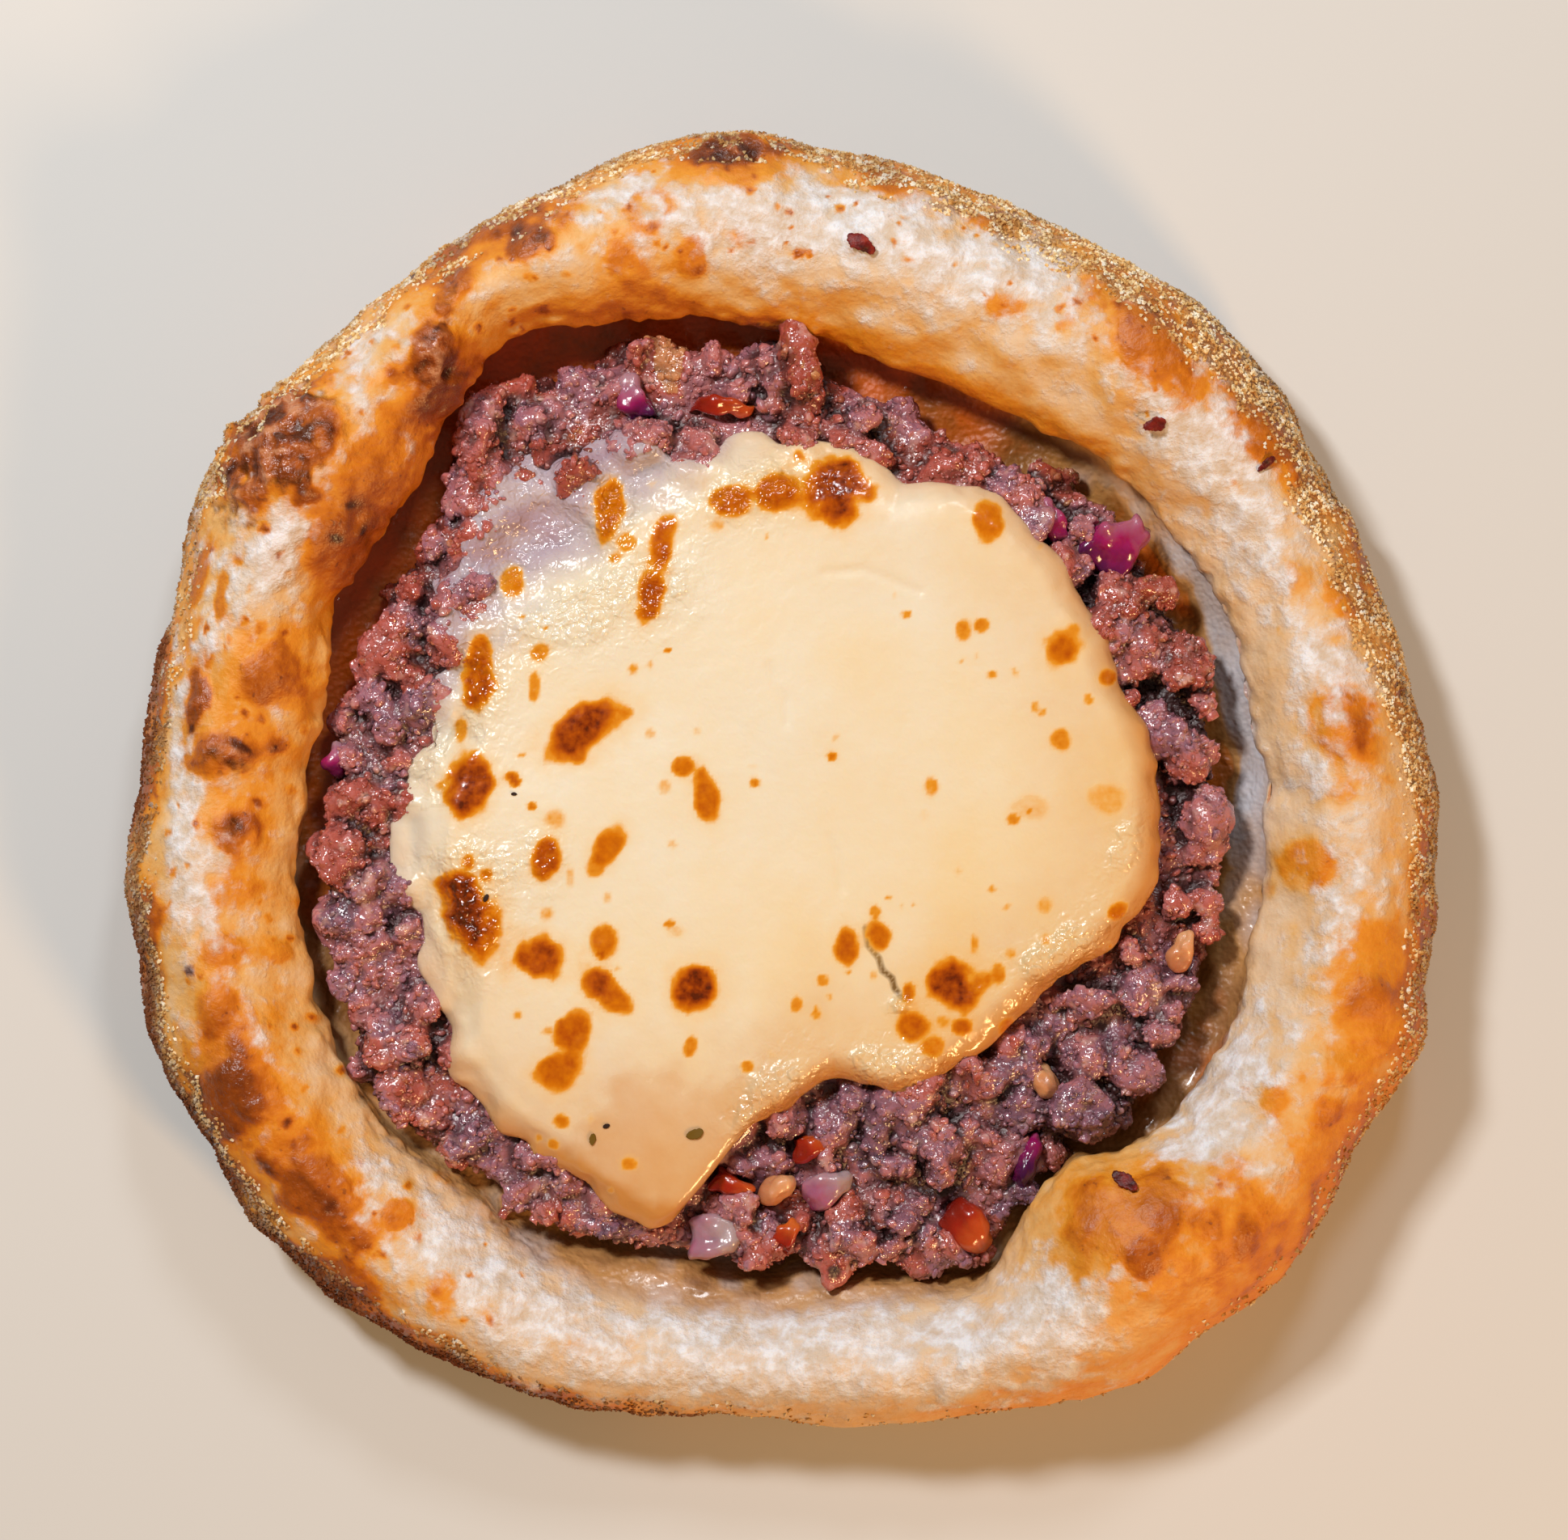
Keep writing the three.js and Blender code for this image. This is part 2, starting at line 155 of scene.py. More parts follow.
def even_cells(piece, size):
    """Rebuilds the piece from square cells of one size, so that nothing on it is stretched."""
    with_modifier(piece, "REMESH", mode="VOXEL", voxel_size=size)


def smooth(piece):
    only(piece)
    bpy.ops.object.shade_smooth()


def thinned(piece, hidden, most_triangles):
    """Takes faces away until few enough are left, mostly where the piece is hidden."""
    group = piece.vertex_groups.new(name="hidden")
    for place in np.flatnonzero(hidden > 0.5):
        group.add([int(place)], 1.0, "REPLACE")
    piece.data.calc_loop_triangles()
    ratio = min(1, most_triangles / len(piece.data.loop_triangles))
    with_modifier(piece, "DECIMATE", ratio=ratio, vertex_group="hidden", vertex_group_factor=4)
    print(piece.name, "triangles:", sum(len(face.vertices) - 2 for face in piece.data.polygons))

# %% Reading and moving points
def points_of(piece):
    points = np.empty(len(piece.data.vertices) * 3)
    piece.data.vertices.foreach_get("co", points)
    return points.reshape(-1, 3)


def normals_of(piece):
    normals = np.empty(len(piece.data.vertices) * 3)
    piece.data.vertex_normals.foreach_get("vector", normals)
    return normals.reshape(-1, 3)


def move_points(piece, points):
    piece.data.vertices.foreach_set("co", points.ravel())
    piece.data.update()


def swell(piece, by):
    """Moves each point along its own normal, by a distance of its own."""
    move_points(piece, points_of(piece) + normals_of(piece) * by[:, None])


def mark(piece, name, values):
    """Keeps one number for each point, for the material to read."""
    attribute = piece.data.attributes.get(name) or piece.data.attributes.new(name, "FLOAT", "POINT")
    attribute.data.foreach_set("value", np.clip(values, 0, 1).astype(np.float32))

# %% Unevenness
def mottle(points, size, seed=0):
    """Soft unevenness from -1 to 1, with lumps about `size` across."""
    places = points / size + 7.13 * (seed + 1)
    cell = np.floor(places).astype(np.int64)
    share = places - cell
    share = share * share * (3 - 2 * share)
    total = np.zeros(len(points))
    for corner in itertools.product((0, 1), repeat=3):
        i, j, k = (cell + corner).T
        stirred = (i * 73856093) ^ (j * 19349663) ^ (k * 83492791)
        stirred = (stirred ^ (stirred >> 13)) * 1274126177 & 0xFFFFFFFF
        weight = np.prod(np.where(corner, share, 1 - share), axis=1)
        total += weight * ((stirred ^ (stirred >> 16)) / 0x7FFFFFFF - 1)
    return total


def rough(points, size, layers=3, seed=0):
    """Unevenness of several sizes, each half as large and half as strong as the one before."""
    return sum(mottle(points, size / 2**n, seed + n) / 2**n for n in range(layers))


def ease(low, high, values):
    """0 below low, 1 above high, and a soft step between."""
    share = np.clip((values - low) / (high - low), 0, 1)
    return share * share * (3 - 2 * share)


def either(*masks):
    """Masks laid over one another: high wherever one of them is."""
    bare = 1
    for mask in masks:
        bare = bare * (1 - mask)
    return 1 - bare

# %% Directions and distances
def polar(points):
    """Direction in degrees and distance from the bread's middle, for each point."""
    flat = points[:, :2] - MIDDLE
    return np.degrees(np.arctan2(flat[:, 1], flat[:, 0])) % 360, np.hypot(*flat.T)


def apart_from(points, x, y):
    """How far each point lies, in plan, from a listed place in mm."""
    return np.hypot(*(points[:, :2] - MIDDLE - np.array([x, y]) * MM).T)


def around(values, degrees):
    """A value for each direction, between those of a list that runs once round in equal steps."""
    return np.interp(degrees, np.linspace(0, 360, len(values) + 1), [*values, values[0]])


def outermost(points, step=5, width=4):
    """The largest distance from the middle, in each direction."""
    degrees, radius = polar(points)
    return np.array([
        radius[np.abs((degrees - d + 180) % 360 - 180) < width].max() for d in range(0, 360, step)
    ])


print("points of all nodes:", sum(len(node.data.vertices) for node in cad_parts.values()))

# %% [markdown]
# ## Spots
#
# Browning on dough and on cheese comes in spots, where a bubble rose towards the heat. Each spot is listed
# with its place from the bread's middle, its length, width and turn, and how brown it is. `spotted` works
# out how far each point is from a spot, stretches that distance unevenly so that no edge is a clean oval,
# and gives back how brown the point is and how high the bubble lifts it.

# %% How spots are spread
def spotted(points, spots, wander, halo, seed, firm=0.5):
    brown = np.zeros(len(points))
    lift = np.zeros(len(points))
    uneven = rough(points, 2.2 * MM, 3, seed)
    flat = points[:, :2] - MIDDLE
    for x, y, length, width, turn, browning in spots:
        near = np.hypot(flat[:, 0] - x * MM, flat[:, 1] - y * MM) < 1.6 * length * MM
        dx, dy = (flat[near] - np.array([x, y]) * MM).T
        c, s = math.cos(math.radians(turn)), math.sin(math.radians(turn))
        apart = np.hypot((dx * c + dy * s) / (0.5 * length * MM), (dy * c - dx * s) / (0.5 * width * MM))
        apart = apart + wander * uneven[near]
        core = 1 - ease(firm, 1.1, apart)
        ring = 1 - ease(0.7, 2.2, apart)
        brown[near] = either(brown[near], browning * (core + (1 - core) * halo * ring))
        lift[near] = np.maximum(lift[near], min(length, width) * np.clip(1 - apart**2, 0, 1))
    return brown, lift * MM

# %% Freckles, flecks, rings and lines
def freckled(spots, count, seed):
    """Small, faint spots strewn about the listed ones."""
    random = np.random.default_rng(seed)
    freckles = []
    for x, y, length, width, turn, browning in spots:
        for _ in range(count):
            away, towards = random.uniform(0.4, 1.2) * length + 1, random.uniform(0, 2 * math.pi)
            size = random.uniform(0.5, 1.3)
            freckles.append((
                x + away * math.cos(towards), y + away * math.sin(towards), size,
                size * random.uniform(0.5, 1), random.uniform(0, 180), browning * random.uniform(0.2, 0.8),
            ))
    return freckles


def flecked(count, seed):
    """Crumbs of scorched flour, under a millimetre across, on the upper and left part of the rim."""
    random = np.random.default_rng(seed)
    towards, far = np.radians(random.uniform(40, 245, count)), random.uniform(46.5, 57, count)
    size = random.uniform(0.35, 1.0, count)
    return list(zip(
        far * np.cos(towards), far * np.sin(towards), size, size * random.uniform(0.4, 1, count),
        random.uniform(0, 180, count), random.uniform(0.25, 0.62, count),
    ))


def ringed(points, rings):
    """Blisters that browned round their edge and stayed pale on top."""
    brown = np.zeros(len(points))
    for x, y, across, browning in rings:
        apart = apart_from(points, x, y) / (0.5 * across * MM) + 0.25 * mottle(points, 1.5 * MM, 19)
        ring = np.exp(-((apart - 0.85) / 0.28) ** 2)
        brown = np.maximum(brown, browning * np.maximum(ring, 0.4 * (apart < 0.8)))
    return brown


def beside(points, line):
    """How far each point lies, in plan, from a line through listed places."""
    flat = points[:, :2] - MIDDLE
    nearest = np.full(len(points), np.inf)
    for start, end in zip(line, line[1:]):
        start, end = np.array(start) * MM, np.array(end) * MM
        along = np.clip((flat - start) @ (end - start) / ((end - start) @ (end - start)), 0, 1)
        nearest = np.minimum(nearest, np.linalg.norm(flat - start - along[:, None] * (end - start), axis=1))
    return nearest

# %% [markdown]
# ## Shader helpers
#
# `add` makes a node and fills its sockets in one call, with a value or a link. `plus`, `times` and the like
# are Math nodes, and `level` and `mask_between` spread a value over another range. Effects that several
# finishes share are node groups. "Broken edge" takes a soft mask and breaks its edge up with noise, as
# browning and wet patches have it. "Patchy cover" lays a coat in drifts, as flour lies. "Fine relief" gives
# a height for a Bump node, from grain of two sizes.

# %% Nodes and colours
def fill(tree, socket, value):
    """Gives a socket a value, or a link where the value is another node's socket."""
    if isinstance(value, bpy.types.NodeSocket):
        tree.links.new(value, socket)
    else:
        socket.default_value = value


def add(tree, kind, feeds=None, **settings):
    node = tree.nodes.new("ShaderNode" + kind)
    for name, value in settings.items():
        setattr(node, name, value)
    for socket, value in (feeds or {}).items():
        fill(tree, node.inputs[socket], value)
    return node


def shade(red, green, blue):
    """A colour as a screen shows it, from 0 to 255, in the light that a shader works with."""
    shown = [part / 255 for part in (red, green, blue)]
    return (*(c / 12.92 if c <= 0.04045 else ((c + 0.055) / 1.055) ** 2.4 for c in shown), 1)


def ramped(tree, value, stops):
    ramp = add(tree, "ValToRGB", {"Fac": value})
    elements = ramp.color_ramp.elements
    while len(elements) < len(stops):
        elements.new(0.5)
    for element, (position, colour) in zip(elements, stops):
        element.position = position
        element.color = colour
    return ramp.outputs["Color"]


def graded(tree, value, *stops):
    """The colour for a value. Each stop is a value with the red, green and blue that `shade` takes."""
    return ramped(tree, value, [(position, shade(*colour)) for position, *colour in stops])


def mask_between(tree, value, low, high, most=1):
    """A mask that rises from 0 to `most` as the value goes from low to high."""
    return ramped(tree, value, [(low, (0, 0, 0, 1)), (high, (most, most, most, 1))])


def blend(tree, mask, below, above):
    """One colour laid over another by a mask."""
    return add(tree, "Mix", {"Factor": mask, 6: below, 7: above}, data_type="RGBA").outputs[2]

# %% Numbers, noise and relief
def level(tree, mask, low, high, start=0, end=1):
    """A number that goes from low to high as the mask goes from start to end."""
    feeds = {"Value": mask, "From Min": start, "From Max": end, "To Min": low, "To Max": high}
    return add(tree, "MapRange", feeds).outputs["Result"]


def math_node(tree, operation, *values):
    """The values worked into one, one after another."""
    total = values[0]
    for value in values[1:]:
        total = add(tree, "Math", {0: total, 1: value}, operation=operation).outputs["Value"]
    return total


def plus(tree, *values):
    return math_node(tree, "ADD", *values)


def minus(tree, *values):
    return math_node(tree, "SUBTRACT", *values)


def times(tree, *values):
    return math_node(tree, "MULTIPLY", *values)


def largest(tree, *values):
    return math_node(tree, "MAXIMUM", *values)


def noise(tree, place, scale, detail, **more):
    """Soft noise from 0 to 1, in lumps of about one metre divided by the scale."""
    return add(tree, "TexNoise", {"Vector": place, "Scale": scale, "Detail": detail, **more}).outputs["Fac"]


def bumped(tree, height, strength, depth, **more):
    """The normals of a relief that is `depth` mm high where the height is 1."""
    feeds = {"Height": height, "Strength": strength, "Distance": depth * MM, **more}
    return add(tree, "Bump", feeds).outputs["Normal"]


def marked(tree, name):
    """What `mark` kept for each point."""
    return add(tree, "Attribute", attribute_name=name).outputs["Fac"]

# %% Finishes
def new_finish(name):
    material = bpy.data.materials.new(name)
    material.use_nodes = True
    tree = material.node_tree
    return material, tree, tree.nodes["Principled BSDF"], add(tree, "TexCoord").outputs["Object"]


def wire(tree, shader, **sources):
    """Fills the shader's sockets, whose names are written with _ for each space."""
    for name, value in sources.items():
        fill(tree, shader.inputs[name.replace("_", " ")], value)

# %% Shared effects
def new_group(name, numbers, output):
    """A node group that takes a place and some numbers, and puts out one number."""
    group = bpy.data.node_groups.new(name, "ShaderNodeTree")
    group.interface.new_socket("Place", in_out="INPUT", socket_type="NodeSocketVector")
    for number in numbers:
        group.interface.new_socket(number, in_out="INPUT", socket_type="NodeSocketFloat")
    group.interface.new_socket(output, in_out="OUTPUT", socket_type="NodeSocketFloat")
    return group, group.nodes.new("NodeGroupInput").outputs, group.nodes.new("NodeGroupOutput").inputs[0]


def grouped(tree, group, **feeds):
    return add(tree, "Group", feeds, node_tree=group).outputs[0]


broken_edge, ins, out = new_group("Broken edge", ("Mask", "Scale", "Amount"), "Mask")
speckle = minus(broken_edge, noise(broken_edge, ins["Place"], ins["Scale"], 4), 0.5)
# The noise works most where the mask is halfway, and not at all where it is 0 or 1.
inside = times(broken_edge, ins["Mask"], minus(broken_edge, 1, ins["Mask"]))
push = times(broken_edge, speckle, ins["Amount"], inside)
moved = add(broken_edge, "Math", {0: ins["Mask"], 1: push}, operation="ADD", use_clamp=True)
broken_edge.links.new(moved.outputs["Value"], out)

patchy_cover, ins, out = new_group("Patchy cover", ("Amount", "Scale"), "Mask")
drifts = noise(patchy_cover, ins["Place"], ins["Scale"], 6, Roughness=0.6)
over = minus(patchy_cover, drifts, level(patchy_cover, ins["Amount"], 0.78, 0.28))
cover = add(
    patchy_cover, "MapRange", {"Value": over, "From Min": -0.16, "From Max": 0.20},
    interpolation_type="SMOOTHSTEP",
)
patchy_cover.links.new(cover.outputs["Result"], out)

fine_relief, ins, out = new_group("Fine relief", ("Scale", "Grain"), "Height")
finer = times(fine_relief, ins["Scale"], 3)
pores = add(fine_relief, "TexVoronoi", {"Vector": ins["Place"], "Scale": finer})
grain = times(fine_relief, pores.outputs["Distance"], ins["Grain"])
height = plus(fine_relief, noise(fine_relief, ins["Place"], ins["Scale"], 5), grain)
fine_relief.links.new(height, out)
print("node groups:", [group.name for group in bpy.data.node_groups])

# %% [markdown]
# ## The bread
#
# The rim is a hollow tube of dough. Where a bubble lay close to the surface it rose into a blister and
# scorched, and the flour that the baker dusted over it stayed white on the crest between the blisters. The
# spots below go round the rim, from the large scorched blister at the upper left. Browning that changes
# slowly round the bread, with painted shade where the rim shades its own inner slope and floor, and how the
# semolina lies, are listed every 30 degrees.

# %% Spots on the rim
# x, y, length, width in mm, turn in degrees, and how brown, black, golden, white or wrinkled
RIM_SPOTS = [
    (-45.2, 30, 14, 9.8, 50, 0.62), (-39.4, 21.4, 8, 6.5, 50, 0.22), (-31.5, 38.5, 5.5, 5, 60, 0.62),
    (-31, 35, 5.5, 4.5, 60, 0.36), (-29.8, 44.2, 5.5, 3.6, 60, 0.5), (-22.3, 49.1, 6, 3.6, 30, 0.62),
    (-26.5, 50.5, 15, 3.6, 30, 0.44), (-4.5, 57.2, 10, 3.8, 0, 0.74), (-14.6, 47.3, 4.6, 3.4, 0, 0.44),
    (-8, 47, 3.8, 2.9, 80, 0.42), (-3.7, 48.8, 2.8, 2.6, 0, 0.26), (9.6, 54.6, 7, 3.4, -15, 0.42),
    (18.9, 50.8, 6, 3.2, -20, 0.36), (20.3, 43, 3.8, 3.4, 0, 0.34), (28.3, 45.3, 4.5, 3.5, -30, 0.3),
    (32.9, 39.8, 9, 7.2, -40, 0.36), (44.6, 31.5, 10, 6, -55, 0.4), (46.6, 18.4, 4, 3, -60, 0.24),
    (50.6, 16.4, 4.2, 3.2, -60, 0.34), (50.6, 5.2, 6.4, 4.6, -60, 0.14), (52.2, 4.4, 3.8, 1.6, -75, 0.3),
    (50.3, -0.9, 2.6, 2.2, 0, 0.2), (47.7, -7.5, 4.6, 4.2, 0, 0.26), (52.9, -19.4, 4.6, 4, 0, 0.3),
    (44.5, -29, 3.2, 2.8, 0, 0.32), (49.4, -30.2, 3.2, 2.6, 0, 0.28), (40, -35, 3.2, 2.6, 0, 0.24),
    (27.2, -39.4, 7.5, 3, 75, 0.3), (34.6, -38, 4.6, 6.6, 0, 0.34), (32.4, -43, 4, 3.4, 0, 0.26),
    (38.1, -40, 3, 2, 80, 0.28), (41.8, -41, 4.6, 2.8, 75, 0.28), (-49.8, -27.9, 9.4, 6.6, 70, 0.66),
    (-43.9, -37, 13.5, 3.6, -45, 0.58), (-41.7, -36, 9, 4, -45, 0.36),
    (-34.9, -39.3, 3.4, 2.4, -30, 0.42), (-38, -41.5, 2, 1.6, 0, 0.4), (-39.1, -46, 8, 3.6, -40, 0.52),
    (-31, -46.7, 4.4, 3, 80, 0.28), (-26.9, -48.7, 3.4, 2.6, 0, 0.2), (-18.3, -51.3, 3.4, 2.6, 0, 0.2),
    (-46.2, 9.6, 6, 5.4, 0, 0.46), (-53, 7.2, 6, 2.4, 85, 0.66), (-50.2, 2.3, 6.6, 4.2, 0, 0.48),
    (-49.6, -4.3, 5.2, 4.4, 0, 0.56), (-45.8, 3.2, 2, 1.6, 0, 0.42), (-49.5, -10, 4.6, 3.4, 0, 0.26),
    (-50.4, -15, 3.8, 2.8, 0, 0.3), (-46, -15.4, 2.8, 2.2, 0, 0.26), (-51.4, -20.6, 5.2, 4, 80, 0.4),
    (-57.6, -12.1, 8.4, 3.6, 85, 0.62), (-57.8, 0.5, 8, 2.6, 85, 0.56), (-56.8, 10.4, 8, 2.2, 85, 0.5),
    (-52.9, 18.7, 6, 1.6, 75, 0.44), (-50.6, 16.6, 4.6, 1.4, 80, 0.4),
]
CHARRED_SPOTS = [
    (-38.8, 24.8, 2, 1.4, 20, 1), (-40.1, 21.9, 1.3, 0.9, 0, 1), (-37.9, 22.6, 1.4, 0.6, 70, 0.9),
    (-46, 33, 1.2, 1, 60, 0.8), (-48, 31.4, 1.6, 1.2, 60, 0.9), (-49.6, 28.2, 1.6, 0.8, 60, 0.9),
    (-30.6, 40.9, 2.6, 0.7, 40, 0.8), (-34, 46, 2.4, 0.8, 65, 0.8), (-24, 49.6, 1.4, 0.7, 40, 0.7),
    (-45.8, 3, 0.9, 0.8, 0, 0.9), (-49, 3.2, 2.4, 0.6, -35, 0.8), (-53.4, 4.6, 1.2, 0.8, 80, 0.8),
    (-46.6, -35, 2, 0.8, -42, 0.7), (-53.6, -17.2, 0.8, 0.7, 0, 0.9),
]
GOLDEN_ZONES = [
    (-36.2, 27.4, 16, 6.5, 68, 0.36), (-39.6, 21.2, 9.5, 7.5, 50, 0.34), (-30.6, 34.6, 8, 5, 60, 0.26),
    (-27, 48.5, 16, 4.5, 35, 0.22), (-13, 49.5, 9, 6, 0, 0.14), (-4.5, 55.5, 13, 4, 0, 0.26),
    (13, 53.5, 14, 3.6, -15, 0.2), (34, 39.5, 13, 8, -45, 0.32), (45, 30, 12, 5, -55, 0.26),
    (52.5, 8, 16, 5, -80, 0.16), (50.6, 5, 8, 6, -60, 0.14), (54, -20, 20, 10, 75, 0.34),
    (48, -38, 24, 9, 48, 0.26), (31.6, -39.6, 15, 9, 0, 0.4), (32, -50, 26, 7, 30, 0.16),
    (0, -57, 40, 4, 0, 0.03), (-43, -33.5, 15, 6, -50, 0.24), (-47, -32, 28, 8, -52, 0.13),
    (-49.5, -24, 10, 7, 70, 0.16), (-50, -12, 13, 8, 85, 0.12), (-49.6, 1, 15, 9, 90, 0.14),
    (-46.6, 9.6, 9, 8, 0, 0.2),
]
FLOURY_ZONES = [
    (3.1, 50.6, 27, 7.5, -3, 0.9), (19.4, 46.4, 15, 7, -28, 0.8), (38, 31.4, 15, 8, -55, 0.95),
    (42.6, 20, 9, 5, -65, 0.6), (49.8, 10, 6.5, 5, -70, 0.95), (48, 0.6, 8, 5, -80, 0.6),
    (50.6, -12, 12, 5, 85, 0.62), (39.4, -28.6, 13, 7.5, 62, 0.9), (22.6, -49, 12, 7.5, 20, 0.85),
    (-2, -49.8, 40, 8, -3, 0.82), (-27.6, -43, 15, 7.5, -35, 0.85), (0, -55.4, 46, 5, 0, 0.5),
    (-38.6, -33.6, 9, 4, -50, 0.5), (-54.4, -2, 26, 2.6, 92, 0.66), (-52, 12.6, 5, 2.6, 60, 0.8),
    (-52.2, -10.4, 9, 2.4, 100, 0.6), (-46.4, 19.8, 11, 6, 62, 0.95), (-52.4, 20.4, 5, 2.4, 72, 0.6),
    (-53, 25.6, 8, 3, 62, 0.7), (-37.4, 40.2, 9, 4.6, 45, 0.62), (-34, 31.6, 7, 3, 60, 0.6),
    (-14, 53.4, 9, 3, 15, 0.6),
]
SCORCHED = [
    (-45.4, 30.4, 13.5, 9.4, 50, 1), (-31.6, 38.3, 5, 4.6, 60, 0.75), (-30, 44, 4.6, 2.8, 60, 0.6),
    (-22.6, 49.1, 4.6, 2.4, 30, 0.6), (-4.5, 57.4, 8.5, 3, 0, 0.8), (-49.7, -4.3, 3.4, 3, 0, 0.75),
    (-50.2, 2.6, 5.4, 2.8, 0, 0.6), (-53.4, 7.2, 5.6, 1.6, 85, 0.45), (-58, -12.1, 7, 2.2, 85, 0.45),
]
RINGS = [
    # x, y, diameter in mm, how brown
    (47.7, -7.5, 4.4, 0.22), (50.6, 5.2, 6, 0.2), (-11.8, 51.8, 4.4, 0.3), (32.4, -43, 3.6, 0.26),
    (38.2, -39.8, 3.2, 0.22),
]
print("spots on the rim:", len(RIM_SPOTS))

# %% What changes round the bread
# Every 30 degrees, from the right and anticlockwise: gold on the outer wall, gold on the inner slope that is
# partly painted shade, how brown the wet floor is with painted shade where the rim shades it, how many mm
# the foot of the inner wall rises, and how wet it is.
WALL_GOLD = [0.84, 0.72, 0.40, 0.38, 0.40, 0.26, 0.46, 0.94, 0.92, 0.14, 0.26, 0.52]
SLOPE_GOLD_AND_SHADE = [0.02, 0.10, 0.38, 0.60, 0.44, 0.20, 0.20, 0.12, 0.04, 0.02, 0.03, 0.03]
FLOOR_BROWN_AND_SHADE = [0.0, 0.1, 0.8, 1.0, 1.0, 1.0, 1.0, 0.5, 0.38, 0.42, 0.55, 0.70]
FOOT_RISE = [3.2, 3.8, 0.6, 0.0, 0.0, 0.0, 0.0, 0.6, 1.0, 1.0, 0.6, 0.6]
FOOT_WET = [1, 0.9, 0.4, 0, 0, 0, 0, 0.6, 1, 1, 1, 1]
# How thick and how brown the semolina is, how many mm in from the rim's edge it reaches, and how far up.
WALL_GRIT = [0.95, 1.0, 0.95, 0.8, 0.7, 0.8, 0.9, 0.9, 0.9, 0.12, 0.03, 0.3]
GRIT_BROWN = [0.36, 0.20, 0.10, 0.20, 0.15, 0.35, 0.72, 0.95, 0.95, 0.15, 0.20, 0.30]
GRIT_WIDTH = [5, 6.5, 6.5, 5, 4.5, 4, 4, 4, 4.5, 3, 2.5, 4]
GRIT_REACH = [0.92, 0.96, 0.92, 0.76, 0.60, 0.60, 0.78, 0.78, 0.80, 0.55, 0.50, 0.75]
print("average gold of the outer wall:", np.mean(WALL_GOLD).round(2))

# %% [markdown]
# ### Shape of the bread
#
# The solid has the rim, the floor and the large blisters. A copy of it is rebuilt from small even cells,
# and its points then move along their normals: a soft wobble of the dough, blisters, and wrinkles where the
# skin scorched. At the right the crumb at the foot of the inner wall has swollen, wet, up between the wall
# and the meat, so the points there are raised.

# %% Shaping the bread
BREAD_CELL = 0.42 * MM
BREAD_TRIANGLES = 196000
bread = refined_copy("crust", "crust_bread", 2)
even_cells(bread, BREAD_CELL)
start = points_of(bread)
up = normals_of(bread)[:, 2]
height = start[:, 2] / MM
degrees, radius = polar(start)
on_rim = ease(5.5, 8.5, height) * ease(-0.35, 0.1, up)
_, lift = spotted(start, RIM_SPOTS, 0.35, 0.3, 3)
scorch, _ = spotted(start, SCORCHED, 0.5, 0.3, 10)

above_base = ease(0.2, 1.5, height)
wobble = 0.35 * mottle(start, 8 * MM, 1) + 0.34 * mottle(start, 3.6 * MM, 2)
wobble += 0.17 * mottle(start, 1.8 * MM, 3)
blister = 0.09 * lift / MM * on_rim


def wrinkled(points):
    """Sharp ridges between broad furrows."""
    return 0.4 - np.abs(mottle(points, 2.1 * MM, 9)) + 0.6 * (0.3 - np.abs(mottle(points, 1.1 * MM, 13)))


crackle = 1.3 * scorch * on_rim * wrinkled(start)
lip = ease(38, 42, radius / MM) * ease(53, 48, radius / MM) * ease(6.5, 8.5, height) * ease(0.75, 0.3, up)
torn = 0.40 * lip * (mottle(start, 1.9 * MM, 11) + 0.7 * mottle(start, 0.95 * MM, 12))
swell(bread, (wobble + blister + crackle + torn) * above_base * MM)
foot = around(FOOT_RISE, degrees) * ease(38, 46, radius / MM) * ease(50, 47, radius / MM)
foot *= ease(4.5, 5.2, height)
rise = foot * (1 + 0.2 * mottle(start, 5 * MM, 24) + 0.04 * mottle(start, 1.6 * MM, 25))
points = points_of(bread)
points[:, 2] += rise * ease(10, 7, height) * MM
move_points(bread, points)
thinned(bread, (height < 5.5) | (up < -0.3), BREAD_TRIANGLES)
smooth(bread)

# %% Marks for the bread's finish
points = points_of(bread)
up = normals_of(bread)[:, 2]
height = points[:, 2] / MM
degrees, radius = polar(points)
rim_side = ease(5.5, 8.5, height) * ease(-0.35, 0.1, up)
brown, _ = spotted(points, RIM_SPOTS + freckled(RIM_SPOTS, 3, 6) + flecked(170, 20), 0.4, 0.35, 3, 0.65)
brown = either(brown, ringed(points, RINGS))
golden, _ = spotted(points, GOLDEN_ZONES, 0.4, 0.5, 14)
charred, _ = spotted(points, CHARRED_SPOTS, 0.5, 0.2, 4)
scorch, _ = spotted(points, SCORCHED, 0.45, 0.25, 10)
wall = ease(0.8, 0.3, up) * ease(50 * MM, 53 * MM, radius)
inner = ease(0.95, 0.45, up) * ease(53 * MM, 50 * MM, radius) * ease(5.5, 8.5, height)
wall_gold = around(WALL_GOLD, degrees) * wall * (0.8 + 0.4 * rough(points, 6 * MM, 3, 5))
